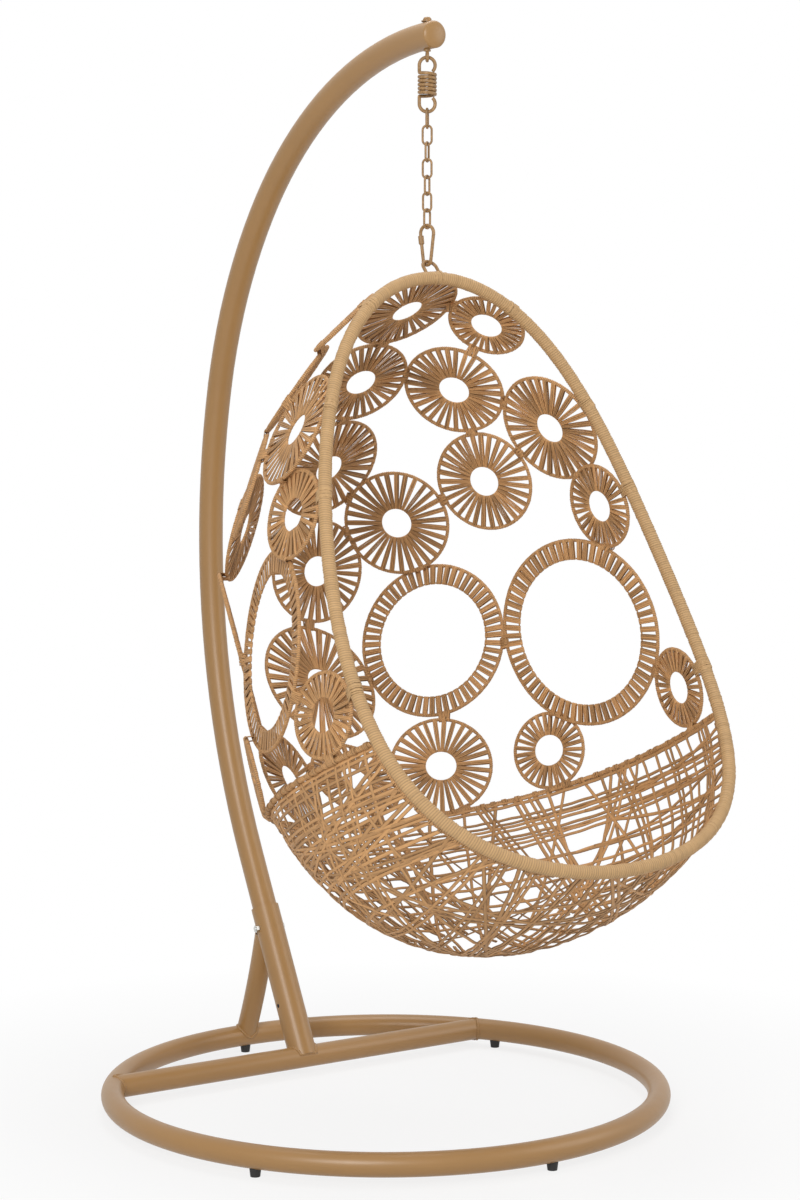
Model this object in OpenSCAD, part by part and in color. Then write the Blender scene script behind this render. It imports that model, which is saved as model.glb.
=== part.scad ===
// Hanging egg chair: an egg of woven rings over a woven bowl, hung by a chain
// and a coil spring from a curved pole on a ring-shaped base.
// Millimetres, +Z up. The floor is z = 0 and the seat faces -Y. The origin lies
// in the middle of the footprint; the base ring's centre is base_shift behind it.

/* [Base] */
// Outer diameter of the base ring
base_d = 1050; // [950:10:1200]
// Diameter of the tube of the base ring and the cross bar
base_tube_d = 42; // [38:1:48]
// Wall of the bent steel tubes
tube_wall = 2; // [1.5:0.5:3]
// Distance of the cross bar behind the ring's centre
crossbar_back = 286; // [270:2:310]
// Height of the feet below the ring
foot_h = 13; // [8:1:20]
// Diameter of a foot under the tube
foot_top_d = 22; // [18:1:30]
// Diameter of a foot on the floor
foot_bottom_d = 17; // [12:1:24]
// Number of feet
foot_count = 6; // [4:1:8]

/* [Pole] */
// Diameter of the pole
pole_d = 48; // [40:1:54]
// Backward lean of the pole where it leaves the base
pole_lean = 27.5; // [24:0.5:30]
// Straight length at the pole's foot
pole_straight = 423; // [380:2:480]
// Radius of the long middle bend
bend1_r = 1320; // [1200:10:1450]
// Angle of the long middle bend
bend1_a = 41.4; // [38:0.2:44]
// Radius of the shoulder bend
bend2_r = 856; // [800:4:920]
// Angle of the shoulder bend
bend2_a = 24.8; // [22:0.2:27]
// Radius of the top bend, which ends level
bend3_r = 744; // [700:2:780]
// Length of the cap in the pole's end, past the tube
cap_len = 9; // [6:1:14]

/* [Socket] */
// Wall of the socket tube
socket_wall = 3; // [2:0.5:4]
// Radial clearance between pole and socket
pole_fit = 0.3; // [0.2:0.1:0.5]
// Length of the socket along the pole
socket_len = 306; // [290:2:330]
// Bolt position along the pole
bolt_at = 264; // [250:1:280]
// Diameter of the bolt through socket and pole
bolt_d = 8; // [6:1:10]
// Set screw position along the pole
screw_at = 106; // [90:1:130]
// Diameter of the set screw
screw_d = 8; // [6:1:10]
// Diameter of the rear brace
brace_d = 40; // [34:1:44]
// Height on the brace's axis where it meets the socket
brace_top = 252; // [235:1:260]
// Bow of the brace from end to end, in degrees
brace_bow = 10; // [6:1:14]

/* [Hanger] */
// Distance of the eye bolt from the pole's open end
eye_setback = 21; // [18:1:30]
// Diameter of the eye bolt's shank
shank_d = 8; // [6:1:10]
// Outer diameter of the eye
eye_od = 22; // [20:1:26]
// Wire of the eye
eye_wire = 5.5; // [5:0.1:6]
// Play where one hanging piece rests in the next
hang_play = 0.3; // [0.2:0.1:0.5]
// Wire of the spring
spring_wire = 6.2; // [5.6:0.1:6.4]
// Middle radius of the spring's coil and hooks
spring_r = 14; // [13:0.5:15]
// Height of the coil, between wire centres
coil_h = 39; // [39:1:46]
// Whole turns of the coil
coil_turns = 6; // [4:1:6]
// Length of the straight leg between hook and coil bend
hook_leg = 7; // [4:1:12]
// Wire of the chain
link_wire = 4; // [3.5:0.1:4.5]
// Outer width of a chain link
link_w = 20; // [18:0.5:22]
// Inner length of a chain link
link_inner = 29.6; // [28:0.2:34]

/* [Carabiner] */
// Wire of the carabiner
carabiner_wire = 6; // [5:0.1:6.4]
// Length between the wire centres at top and bottom
carabiner_len = 70; // [66:1:80]
// Middle radius of the wide end
carabiner_top_r = 14; // [13:0.5:16]
// Middle radius of the narrow end
carabiner_foot_r = 8; // [7.5:0.5:9]
// Height of the gate's pin above the lower wire
gate_foot = 16; // [14:1:18]
// Length of the gate from its pin
gate_len = 37; // [34:1:40]
// Diameter of the gate's pin
gate_pin_d = 2; // [1.6:0.1:2.4]
// Play around the gate's pin and inside the sleeve
gate_play = 0.1; // [0.05:0.05:0.1]
// Length of the locking sleeve
sleeve_len = 14; // [12:1:16]
// Outer diameter of the locking sleeve
sleeve_d = 10; // [9:0.5:11]

/* [Egg] */
// Height of the egg
egg_h = 1174; // [1120:2:1230]
// Half width of the egg at mid height, before the end rounding
egg_half_w = 375; // [355:1:390]
// Narrowing of the egg towards the top
egg_taper = 92; // [80:1:100]
// Half depth of the whole egg at mid height
egg_half_d = 587; // [565:1:600]
// Egg centre, behind (+) or ahead (-) of the chain, at mid height
egg_set = -137; // [-150:1:-125]
// How far the egg's centre line runs back from bottom to top, halved
egg_rake = 98; // [90:1:106]

/* [Rim] */
// Diameter of the wrapped rim
rim_d = 23; // [20:0.5:26]
// Height of the rim's lowest point above the egg's bottom
rim_rise = 195; // [185:1:205]
// Rim at its mid height, ahead of the chain
rim_set = 223; // [215:1:232]
// Diameter of the rod of the hanging loop
loop_wire = 6; // [5:0.1:6.4]
// Middle radius of the hanging loop
loop_r = 14; // [13:0.5:16]
// Height of the loop's top wire above the rim's middle
loop_rise = 30.2; // [28:0.2:36]
// Set-back of the loop's top from the rim
loop_back = 26; // [22:1:28]

/* [Bowl] */
// Thickness of the woven bowl
bowl_wall = 5; // [4:0.5:8]
// Number of openings round the bowl
bowl_openings = 24; // [12:2:24]
// Width of the upright bars between the bowl's openings, in degrees round the egg
bar_angle = 3; // [2:0.5:5]
// Height of the bowl's edge below the chain, above the egg's bottom
edge_rise = 246; // [236:1:256]
// Upward slope of the bowl's edge towards the front
edge_slope = 24; // [20:0.5:27]
// Diameter of the wrapped edge wire
edge_d = 10; // [8:0.5:12]

/* [Woven rings] */
// Diameter of a ring's outer hoop
hoop_d = 7; // [6:0.5:8]
// Diameter of a ring's inner hoop
hub_d = 6; // [5:0.5:7]
// Thickness of the spokes
spoke_t = 3; // [2:0.5:4]
// Diameter of the hole in a small ring
small_hole_d = 58; // [50:1:64]
// Width of the woven band of a large ring
band_w = 40; // [34:1:48]
// Spokes in a small ring
spokes = 28; // [20:2:36]
// Spokes in a large ring
big_spokes = 52; // [36:2:64]
// Gaps between the hoops of neighbours up to which they are tied
tie_reach = 16; // [11:1:20]

/* [Hidden] */
$fn = 48;

steel_paint = [0.67, 0.51, 0.33];
zinc = [0.72, 0.72, 0.70];
black = [0.08, 0.08, 0.08];
cane = [0.76, 0.60, 0.38];
wicker = [0.62, 0.45, 0.29];

// The base ring's centre, behind the origin
base_shift = 22.8;

// ---------------------------------------------------------------- small helpers
function unit(v) = v / norm(v);
function clamp(x, low, high) = min(max(x, low), high);

// A point and a heading in the chair's middle plane; a heading is measured from
// straight up towards the front (-Y)
function step_on(p, heading, length) = p + length * [0, -sin(heading), cos(heading)];
function turn_on(p, heading, r, angle) =
    p + r * [0, cos(heading + angle) - cos(heading), sin(heading + angle) - sin(heading)];

module facing(p, heading) {
    translate(p) rotate([heading, 0, 0]) children();
}

module annulus(d, wall) {
    difference() {
        circle(d = d, $fn = 48);
        circle(d = d - 2 * wall, $fn = 48);
    }
}

// A bent tube that starts upwards at the origin and turns to the front
module bend(r, angle, d, wall) {
    translate([0, -r, 0]) rotate([90, 0, 90])
        rotate_extrude(angle = angle, $fn = 288) translate([r, 0]) annulus(d, wall);
}

module downwards() {
    mirror([0, 0, 1]) children();
}

// Two bends meet in a short seam that stands a little proud of the tube
seam = 0.2;
seam_gap = 0.5;
module seam_collar(d, wall) {
    translate([0, 0, -4 * seam_gap]) straight_tube(8 * seam_gap, d + 2 * seam, wall + 2 * seam);
}

module straight_tube(length, d, wall) {
    difference() {
        cylinder(d = d, h = length);
        translate([0, 0, -1]) cylinder(d = d - 2 * wall, h = length + 2);
    }
}

// Round wire bent in the XZ plane about the origin, starting upwards on the +X side
module wire_arc(r, angle, wire) {
    rotate([90, 0, 0]) rotate_extrude(angle = angle) translate([r, 0]) circle(d = wire);
}

// ---------------------------------------------------------------- base
ring_r = (base_d - base_tube_d) / 2;
axis_z = foot_h + base_tube_d / 2;
crossbar_y = base_shift + crossbar_back;

module base_torus(extra = 0) {
    translate([0, base_shift, axis_z]) rotate_extrude($fn = 96)
        translate([ring_r, 0]) circle(d = base_tube_d + 2 * extra);
}

module base_ring() {
    color(steel_paint) translate([0, base_shift, axis_z])
        rotate_extrude($fn = 96) translate([ring_r, 0]) annulus(base_tube_d, tube_wall);
}

module crossbar() {
    reach = sqrt(ring_r * ring_r - crossbar_back * crossbar_back);
    color(steel_paint) difference() {
        translate([-reach, crossbar_y, axis_z]) rotate([0, 90, 0])
            straight_tube(2 * reach, base_tube_d, tube_wall);
        base_torus();
    }
}

module feet() {
    color(black) difference() {
        for (k = [0 : foot_count - 1]) {
            translate([0, base_shift, 0]) rotate([0, 0, 90 + 360 * k / foot_count])
                translate([ring_r, 0, 0])
                cylinder(d1 = foot_bottom_d, d2 = foot_top_d, h = foot_h + base_tube_d / 6);
        }
        base_torus();
    }
}

// ---------------------------------------------------------------- pole
pole_foot = [0, crossbar_y, axis_z];
knee = step_on(pole_foot, -pole_lean, pole_straight);
bend2_start = turn_on(knee, -pole_lean, bend1_r, bend1_a);
bend3_start = turn_on(bend2_start, bend1_a - pole_lean, bend2_r, bend2_a);
bend3_a = 90 + pole_lean - bend1_a - bend2_a;
pole_end = turn_on(bend3_start, 90 - bend3_a, bend3_r, bend3_a);
hang_y = pole_end.y + eye_setback;
end_stub = eye_setback + shank_d;

socket_d = pole_d + 2 * pole_fit + 2 * socket_wall;
bolt_play = 0.2;

module on_pole_axis(along) {
    facing(pole_foot, -pole_lean) translate([0, 0, along]) children();
}

module crossbar_cut(extra = 0) {
    translate([-base_d / 4, crossbar_y, axis_z]) rotate([0, 90, 0])
        cylinder(d = base_tube_d + 2 * extra, h = base_d / 2);
}

module bolt_hole() {
    on_pole_axis(bolt_at) rotate([0, 90, 0])
        cylinder(d = bolt_d + 2 * bolt_play, h = 2 * socket_d, center = true);
}

module screw_hole() {
    on_pole_axis(screw_at) rotate([0, -90, 0]) cylinder(d = screw_d + 2 * bolt_play, h = socket_d);
}

module pole() {
    color(steel_paint) difference() {
        union() {
            facing(knee, -pole_lean) {
                downwards() straight_tube(pole_straight, pole_d, tube_wall);
                bend(bend1_r, bend1_a - seam_gap / bend1_r * 180 / PI, pole_d, tube_wall);
            }
            facing(bend2_start, bend1_a - pole_lean) seam_collar(pole_d, tube_wall);
            facing(bend3_start, 90 - bend3_a) {
                downwards() bend(bend2_r, bend2_a, pole_d, tube_wall);
                bend(bend3_r, bend3_a, pole_d, tube_wall);
            }
        }
        crossbar_cut(pole_fit);
        bolt_hole();
        translate([0, hang_y, pole_end.z])
            cylinder(d = shank_d + 2 * bolt_play, h = 2 * pole_d, center = true);
    }
}

// A rounded plug in the pole's open end
module pole_cap() {
    plug_d = pole_d - 2 * tube_wall - 2 * bolt_play;
    color(steel_paint) facing(pole_end, 90) rotate_extrude() {
        difference() {
            scale([1, 2 * cap_len / pole_d]) circle(d = pole_d);
            translate([-pole_d, -2 * pole_d]) square([pole_d, 4 * pole_d]);
            translate([0, -2 * pole_d]) square([pole_d, 2 * pole_d]);
        }
        translate([0, -tube_wall * 3]) square([plug_d / 2, tube_wall * 3]);
    }
}

// ---------------------------------------------------------------- socket and brace
module socket() {
    color(steel_paint) difference() {
        on_pole_axis(0) straight_tube(socket_len, socket_d, socket_wall);
        crossbar_cut();
        bolt_hole();
        screw_hole();
    }
}

// The brace runs from the ring's rear up to the socket's back
brace_foot = [0, base_shift + ring_r, axis_z];
brace_head_y = crossbar_y + (brace_top - axis_z) * tan(pole_lean) + socket_d / 2;
brace_chord = [0, brace_head_y, brace_top] - brace_foot;
brace_heading = atan(-brace_chord.y / brace_chord.z);
brace_r = norm(brace_chord) / 2 / sin(brace_bow / 2);

module rear_brace() {
    color(steel_paint) difference() {
        facing(brace_foot, brace_heading + brace_bow / 2) rotate([0, 0, 180])
            bend(brace_r, brace_bow, brace_d, tube_wall);
        base_torus();
        on_pole_axis(0) cylinder(d = socket_d, h = socket_len);
    }
}

bolt_head_d = bolt_d * 2;
bolt_head_h = bolt_d * 0.6;

module socket_bolt() {
    seat = socket_d / 2;
    color(zinc) on_pole_axis(bolt_at) rotate([0, 90, 0]) {
        translate([0, 0, -seat - bolt_d]) cylinder(d = bolt_d, h = 2 * seat + bolt_d);
        translate([0, 0, seat]) rotate_extrude() intersection() {
            scale([1, 2 * bolt_head_h / bolt_head_d]) circle(d = bolt_head_d);
            square(bolt_head_d);
        }
    }
}

module socket_nut() {
    color(zinc) on_pole_axis(bolt_at) rotate([0, -90, 0]) translate([0, 0, socket_d / 2]) difference() {
        cylinder(d = bolt_d * 1.9, h = bolt_d * 0.8, $fn = 6);
        translate([0, 0, -1]) cylinder(d = bolt_d + 0.2, h = bolt_d * 2);
    }
}

module set_screw() {
    color(black) on_pole_axis(screw_at) rotate([0, -90, 0]) translate([0, 0, pole_d / 2]) difference() {
        cylinder(d = screw_d, h = socket_wall + pole_fit - 0.5);
        translate([0, 0, 1]) cylinder(d = screw_d / 2, h = 2 * socket_wall, $fn = 6);
    }
}

// ---------------------------------------------------------------- eye bolt
// Each hanging piece rests in the one above: every level below is a wire's centre
eye_r = (eye_od - eye_wire) / 2;
eye_gap = 0.6;
eye_z = pole_end.z - pole_d / 2 - eye_od / 2 - eye_gap;
eye_foot_z = eye_z - eye_r;
pole_top_z = pole_end.z + pole_d / 2;
hook_yaw = -30;
eye_yaw = hook_yaw + 90;

module hang_at(z, yaw) {
    translate([0, hang_y, z]) rotate([0, 0, yaw]) children();
}

module eye_bolt() {
    collar = eye_wire / 2;
    shank = eye_gap + pole_d + eye_wire / 2 + shank_d * 0.6;
    color(steel_paint) hang_at(eye_z, eye_yaw) {
        rotate([90, 0, 0]) rotate_extrude() translate([eye_r, 0]) circle(d = eye_wire);
        translate([0, 0, eye_r]) cylinder(d = shank_d, h = shank);
        translate([0, 0, eye_od / 2 - collar]) cylinder(d = shank_d * 1.6, h = collar);
    }
}

module eye_nut() {
    nut_d = shank_d * 2.6;
    color(steel_paint) hang_at(pole_top_z, 0) difference() {
        rotate_extrude() intersection() {
            union() {
                square([nut_d / 2, 2]);
                translate([0, 2]) circle(d = nut_d * 0.75);
            }
            square([nut_d, shank_d]);
        }
        translate([0, 0, -1]) cylinder(d = shank_d + 0.2, h = shank_d * 0.6 + 1.2);
    }
}

// ---------------------------------------------------------------- spring
hook_top_z = eye_foot_z + (eye_wire + spring_wire) / 2 + hang_play;
hook_z = hook_top_z - spring_r;
coil_bend = spring_wire + 0.8;
coil_top_z = hook_z - hook_leg - coil_bend;
coil_foot_z = coil_top_z - coil_h;
low_hook_z = coil_foot_z - coil_bend - hook_leg;
low_hook_foot_z = low_hook_z - spring_r;

// The coil: a helix whose two ends bend into the hooks' legs. Both legs stand on
// the same side, so bends and helix make whole turns together.
bend_turn = coil_bend / spring_r * 180 / PI;
helix_turn = 360 * coil_turns - 2 * bend_turn;
coil_rings = 8;
coil_end = 0.2;
coil_lead = 1.4;
coil_steps = ceil(helix_turn / 360 * coil_rings);

function on_coil(arc, z) = [spring_r * cos(180 + arc), spring_r * sin(180 + arc), z];

function coil_path() = concat(
    [on_coil(0, coil_top_z + coil_bend - coil_end), on_coil(0, coil_top_z + coil_bend - coil_lead)],
    [for (a = [30 : 30 : 60]) on_coil(bend_turn * (1 - cos(a)), coil_top_z + coil_bend * (1 - sin(a)))],
    [for (k = [0 : coil_steps])
        on_coil(bend_turn + helix_turn * k / coil_steps, coil_top_z - coil_h * k / coil_steps)],
    [for (a = [60 : -30 : 30]) on_coil(360 * coil_turns - bend_turn * (1 - cos(a)),
        coil_foot_z - coil_bend * (1 - sin(a)))],
    [on_coil(0, coil_foot_z - coil_bend + coil_lead), on_coil(0, coil_foot_z - coil_bend + coil_end)]);

function coil_self_gap(path) = min([for (i = [0 : len(path) - 1]) for (j = [i + 5 : 1 : len(path) - 1])
    norm(path[i] - path[j]) - spring_wire]);

module spring() {
    path = coil_path();
    echo(str("spring: least gap of the coil to itself ", coil_self_gap(path), " mm"));
    color(steel_paint) hang_at(0, hook_yaw)
        sweep(path, [for (p = path) [p.x, p.y, 0]], spring_wire / 2, 6);
}

// A hook opens to +X and meets the coil with a straight leg on the -X side
hook_open = 48;

module spring_hook() {
    mirror([1, 0, 0]) {
        wire_arc(spring_r, 180 + hook_open, spring_wire);
        translate([spring_r, 0, 0]) downwards() cylinder(d = spring_wire, h = hook_leg);
    }
}

module spring_top_hook() {
    color(steel_paint) hang_at(hook_z, hook_yaw) spring_hook();
}

module spring_lower_hook() {
    color(steel_paint) hang_at(low_hook_z, hook_yaw) downwards() spring_hook();
}

// ---------------------------------------------------------------- chain
link_pitch = link_inner - hang_play;
link_half = (link_inner + link_wire) / 2;
link_top_z = low_hook_foot_z + (spring_wire + link_wire) / 2 + hang_play;
link_r = (link_w - link_wire) / 2;
link_count = 7;

// Neighbours stand nearly square to each other and the chain turns a little
function link_z(k) = link_top_z - link_half - (k - 1) * link_pitch;
function link_yaw(k) = hook_yaw + (k % 2 == 1 ? 80 : 0) - 5 * k;

module chain_link(k) {
    side = link_half - link_r;
    color(steel_paint) hang_at(link_z(k), link_yaw(k)) {
        translate([0, 0, side]) wire_arc(link_r, 180, link_wire);
        translate([0, 0, -side]) downwards() wire_arc(link_r, 180, link_wire);
        for (x = [-link_r, link_r]) {
            translate([x, 0, -side]) cylinder(d = link_wire, h = 2 * side);
        }
    }
}

// ---------------------------------------------------------------- carabiner
chain_foot_z = link_z(link_count) - link_half;
carabiner_top_z = chain_foot_z + (link_wire + carabiner_wire) / 2 + hang_play;
carabiner_foot_z = carabiner_top_z - carabiner_len;
carabiner_yaw = link_yaw(link_count + 1);
leg_span = carabiner_len - carabiner_top_r - carabiner_foot_r;
leg_tilt = asin((carabiner_top_r - carabiner_foot_r) / leg_span);
leg_len = leg_span * cos(leg_tilt);

module at_carabiner() {
    hang_at(carabiner_foot_z + carabiner_foot_r, carabiner_yaw) children();
}

// The leg's own frame: it starts where the narrow arc ends and +Z runs up the leg
module on_leg(side) {
    rotate([0, side * leg_tilt, 0]) translate([side * carabiner_foot_r, 0, 0]) children();
}

pin_up = gate_foot - carabiner_foot_r;
tongue_t = carabiner_wire * 0.36;
fork_gap = tongue_t + 0.4;
knuckle_r = carabiner_wire / 2;
shoulder = knuckle_r + 0.5;
stop_h = 1;
gate_hole_d = gate_pin_d + 2 * gate_play;

module knuckle(thickness, r) {
    rotate([90, 0, 0]) cylinder(r = r, h = thickness, center = true);
}

// The narrow arc grows from the plain leg, the wide one from the nose above the gate
module carabiner() {
    nose = leg_len - pin_up - gate_len - hang_play;
    color(steel_paint) at_carabiner() difference() {
        union() {
            on_leg(1) {
                cylinder(d = carabiner_wire, h = leg_len - seam_gap);
                translate([-carabiner_foot_r, 0, 0])
                    downwards() wire_arc(carabiner_foot_r, 180 - 2 * leg_tilt, carabiner_wire);
                translate([0, 0, leg_len]) sphere(d = carabiner_wire + 2 * seam);
            }
            on_leg(-1) {
                sphere(d = carabiner_wire + 2 * seam);
                translate([0, 0, leg_len]) {
                    downwards() cylinder(d = carabiner_wire, h = nose);
                    translate([carabiner_top_r, 0, 0]) mirror([1, 0, 0])
                        wire_arc(carabiner_top_r, 180 + 2 * leg_tilt, carabiner_wire);
                }
                translate([0, 0, seam_gap]) cylinder(d = carabiner_wire, h = pin_up - seam_gap);
                translate([0, 0, pin_up]) intersection() {
                    knuckle(carabiner_wire, knuckle_r);
                    cylinder(d = carabiner_wire, h = 2 * carabiner_wire, center = true);
                }
            }
        }
        on_leg(-1) translate([0, 0, pin_up]) {
            knuckle(fork_gap, knuckle_r + 0.4);
            translate([-carabiner_wire, -fork_gap / 2, 0])
                cube([2 * carabiner_wire, fork_gap, carabiner_wire]);
            knuckle(2 * carabiner_wire, gate_hole_d / 2);
        }
    }
}

module gate_pin() {
    color(steel_paint) at_carabiner() on_leg(-1) translate([0, 0, pin_up])
        knuckle(carabiner_wire, gate_pin_d / 2);
}

module carabiner_gate() {
    color(steel_paint) at_carabiner() on_leg(-1) translate([0, 0, pin_up]) difference() {
        union() {
            intersection() {
                union() {
                    knuckle(tongue_t, knuckle_r);
                    translate([-knuckle_r, -tongue_t / 2, 0])
                        cube([2 * knuckle_r, tongue_t, shoulder + 1]);
                }
                translate([0, 0, -carabiner_wire]) cylinder(d = carabiner_wire, h = 3 * carabiner_wire);
            }
            translate([0, 0, shoulder]) cylinder(d = carabiner_wire, h = gate_len - shoulder);
            translate([0, 0, gate_len - sleeve_len - hang_play - stop_h])
                cylinder(d = (carabiner_wire + sleeve_d) / 2, h = stop_h);
        }
        knuckle(2 * carabiner_wire, gate_hole_d / 2);
    }
}

module lock_sleeve() {
    color(steel_paint) at_carabiner() on_leg(-1) translate([0, 0, pin_up + gate_len - sleeve_len])
        difference() {
            cylinder(d = sleeve_d, h = sleeve_len);
            translate([0, 0, -1]) cylinder(d = carabiner_wire + 2 * gate_play, h = sleeve_len + 2);
        }
}

// ---------------------------------------------------------------- egg
loop_top_z = carabiner_foot_z + (carabiner_wire + loop_wire) / 2 + hang_play;
rim_top_z = loop_top_z - loop_rise;
egg_top_z = rim_top_z;
egg_foot_z = egg_top_z - egg_h;
egg_full = 92;
egg_flat = 285;
egg_slip = 38;
egg_back = 13;

// The egg's level sections are ellipses; u runs from -1 at the bottom to 1 at the top
function egg_u(z) = clamp(2 * (z - egg_foot_z) / egg_h - 1, -1, 1);
function egg_w(z) = let (u = egg_u(z))
    sqrt(1 - u * u) * (egg_half_w - egg_taper * u + egg_full * u * u);
function egg_d(z) = let (u = egg_u(z))
    sqrt(1 - u * u) * (egg_half_d - egg_slip * u - egg_flat * u * u);
function egg_y(z) = let (u = egg_u(z)) hang_y + egg_set + egg_rake * u + egg_back * u * u;

// A point of the egg at angle th, counted from the back (+Y) towards +X
function egg_pt(th, z) = [egg_w(z) * sin(th), egg_y(z) + egg_d(z) * cos(th), z];
function egg_normal(th, z) = let (e = 0.02, low = z - e, high = z + e)
    unit(cross(egg_pt(th, high) - egg_pt(th, low), egg_pt(th + e, z) - egg_pt(th - e, z)));

// ---------------------------------------------------------------- rim
rim_foot_z = egg_foot_z + rim_rise;
rim_half = (rim_top_z - rim_foot_z) / 2;
rim_curl = 32;
rim_head = hang_y - loop_back;
rim_chin = egg_y(rim_foot_z) - egg_d(rim_foot_z);
rim_waist = hang_y - rim_set;

// The rim lies on the egg; its side view is a cubic through chin, waist and head
function rim_y(v) = rim_waist + ((rim_head - rim_chin) / 2 - rim_curl) * v
    + ((rim_head + rim_chin) / 2 - rim_waist) * v * v + rim_curl * v * v * v;
function rim_pt(t) = let (v = cos(t), z = rim_foot_z + rim_half * (1 + v), y = rim_y(v),
    q = (y - egg_y(z)) / max(egg_d(z), 0.001))
    [(t > 180 ? -1 : 1) * egg_w(z) * sqrt(max(0, 1 - q * q)), y, z];

rim_rings = 96;
rim_path = [for (k = [0 : rim_rings - 1]) rim_pt(360 * k / rim_rings)];
rim_middle = [0, rim_waist, (rim_top_z + rim_foot_z) / 2];

module rim() {
    color(cane) sweep(rim_path, [for (p = rim_path) p - rim_middle], rim_d / 2, 12, true);
}

// A bent rod over the rim's top, its legs ending on the rim
loop_dir = unit([0, -loop_back, -loop_rise]);
loop_heading = 180 - atan(loop_back / loop_rise);

module rim_loop() {
    leg = norm([loop_back, loop_rise]) - loop_r;
    color(steel_paint) difference() {
        facing([0, hang_y, loop_top_z] + loop_r * loop_dir, loop_heading) {
            downwards() wire_arc(loop_r, 180, loop_wire);
            for (x = [-loop_r, loop_r]) {
                translate([x, 0, 0]) cylinder(d = loop_wire, h = leg);
            }
        }
        translate([-rim_d * 2, rim_head, rim_top_z]) rotate([0, 90, 0])
            cylinder(d = rim_d + 0.4, h = rim_d * 4);
    }
}

// ---------------------------------------------------------------- swept tubes
function tangent(path, i, closed) = let (m = len(path),
    before = closed ? (i + m - 1) % m : max(i - 1, 0),
    after = closed ? (i + 1) % m : min(i + 1, m - 1)) unit(path[after] - path[before]);

// A round tube along a path; refs gives a direction at each point that its sides start from
module sweep(path, refs, r, sides, closed = false) {
    m = len(path);
    rings = closed ? m : m - 1;
    points = [for (i = [0 : m - 1]) let (t = tangent(path, i, closed),
        u = unit(refs[i] - t * (refs[i] * t)), v = cross(t, u))
        for (k = [0 : sides - 1]) path[i] + r * (cos(360 * k / sides) * u + sin(360 * k / sides) * v)];
    walls = [for (i = [0 : rings - 1]) for (k = [0 : sides - 1]) let (
        a = i * sides + k, b = i * sides + (k + 1) % sides,
        d = ((i + 1) % m) * sides + k, c = ((i + 1) % m) * sides + (k + 1) % sides)
        each [[a, d, c], [a, c, b]]];
    last = (m - 1) * sides;
    caps = closed ? [] : [for (k = [1 : sides - 2]) each
        [[0, k, k + 1], [last, last + k + 1, last + k]]];
    polyhedron(points, concat(walls, caps), convexity = 10);
}

function seg_near(p, a, b) = let (d = b - a, s = clamp((p - a) * d / (d * d), 0, 1)) a + s * d;
function path_near(p, path, closed) = let (m = len(path),
    q = [for (i = [0 : (closed ? m - 1 : m - 2)]) seg_near(p, path[i], path[(i + 1) % m])],
    far = [for (x = q) norm(p - x)]) q[search(min(far), far)[0]];
function path_dist(p, path, closed) = norm(p - path_near(p, path, closed));

// ---------------------------------------------------------------- bowl
seat_play = 0.4;

// Height of the bowl's slanting edge at angle th, found by halving
function edge_plane(y) = egg_foot_z + edge_rise + (hang_y - y) * tan(edge_slope);
function edge_z(th, low, high, n = 24) = let (z = (low + high) / 2)
    n == 0 ? z : z < edge_plane(egg_pt(th, z).y) ? edge_z(th, z, high, n - 1) : edge_z(th, low, z, n - 1);
function edge_pt(th) = egg_pt(th, edge_z(th, egg_foot_z + 20, egg_foot_z + egg_h * 0.7));

// The edge wire ends where its face just clears the rim
function end_clear(th) = let (p = edge_pt(th), t = unit(edge_pt(th + 0.5) - edge_pt(th - 0.5)),
    u = unit(cross(t, egg_normal(th, p.z))), v = cross(t, u))
    min([for (a = [0 : 45 : 315]) path_dist(p + edge_d / 2 * (cos(a) * u + sin(a) * v), rim_path, true)]);
function edge_stop(low, high, n = 16) = let (th = (low + high) / 2)
    n == 0 ? low : end_clear(th) > rim_d / 2 + seat_play ? edge_stop(th, high, n - 1)
    : edge_stop(low, th, n - 1);
edge_turn = edge_stop(80, 125);
edge_steps = 64;
edge_path = [for (k = [0 : edge_steps]) edge_pt(edge_turn * (2 * k / edge_steps - 1))];

module edge_wire() {
    color(wicker) sweep(edge_path, [for (p = edge_path) [0, 0, 1]], edge_d / 2, 8);
}

// The bowl is the egg's lower part, up to the edge wire at the back and the rim in front
function in_bowl(th, z) = let (p = egg_pt(th, z)) z < edge_plane(p.y)
    && p.y > rim_y((z - rim_foot_z) / rim_half - 1)
    && path_dist(p, rim_path, true) > rim_d / 2 + seat_play
    && path_dist(p, edge_path, false) > edge_d / 2 + seat_play;
function bowl_first(th, z, rise) = in_bowl(th, z + rise) ? bowl_first(th, z + rise, rise) : z;
function bowl_half(th, low, high, n = 8) = let (z = (low + high) / 2)
    n == 0 ? low : in_bowl(th, z) ? bowl_half(th, z, high, n - 1) : bowl_half(th, low, z, n - 1);
function bowl_top(th) = let (rise = 12, z = bowl_first(th, egg_foot_z + rise, rise))
    bowl_half(th, z, z + rise);

// The bowl's grid: upright and level bars round plain openings. Levels are shares
// of the way from the egg's foot to the bowl's top, and crowd towards the foot,
// where the egg is nearly level. Odd rows hold the openings.
bowl_levels = [0.1, 0.2, 0.335, 0.365, 0.5, 0.53, 0.665, 0.695, 0.83, 0.86, 0.955, 1];
bowl_rows = len(bowl_levels);
bar_cols = 4;
bowl_cols = bar_cols * bowl_openings;

function col_angle(i) = let (pitch = 360 / bowl_openings, k = floor(i / bar_cols), m = i % bar_cols)
    pitch * k - bar_angle / 2 + (m == 0 ? 0 : bar_angle + (m - 1) * (pitch - bar_angle) / (bar_cols - 1));
function is_open(i, j) = j < 0 ? false : j > bowl_rows - 2 ? true : j % 2 == 1 && i % bar_cols > 0;

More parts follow.
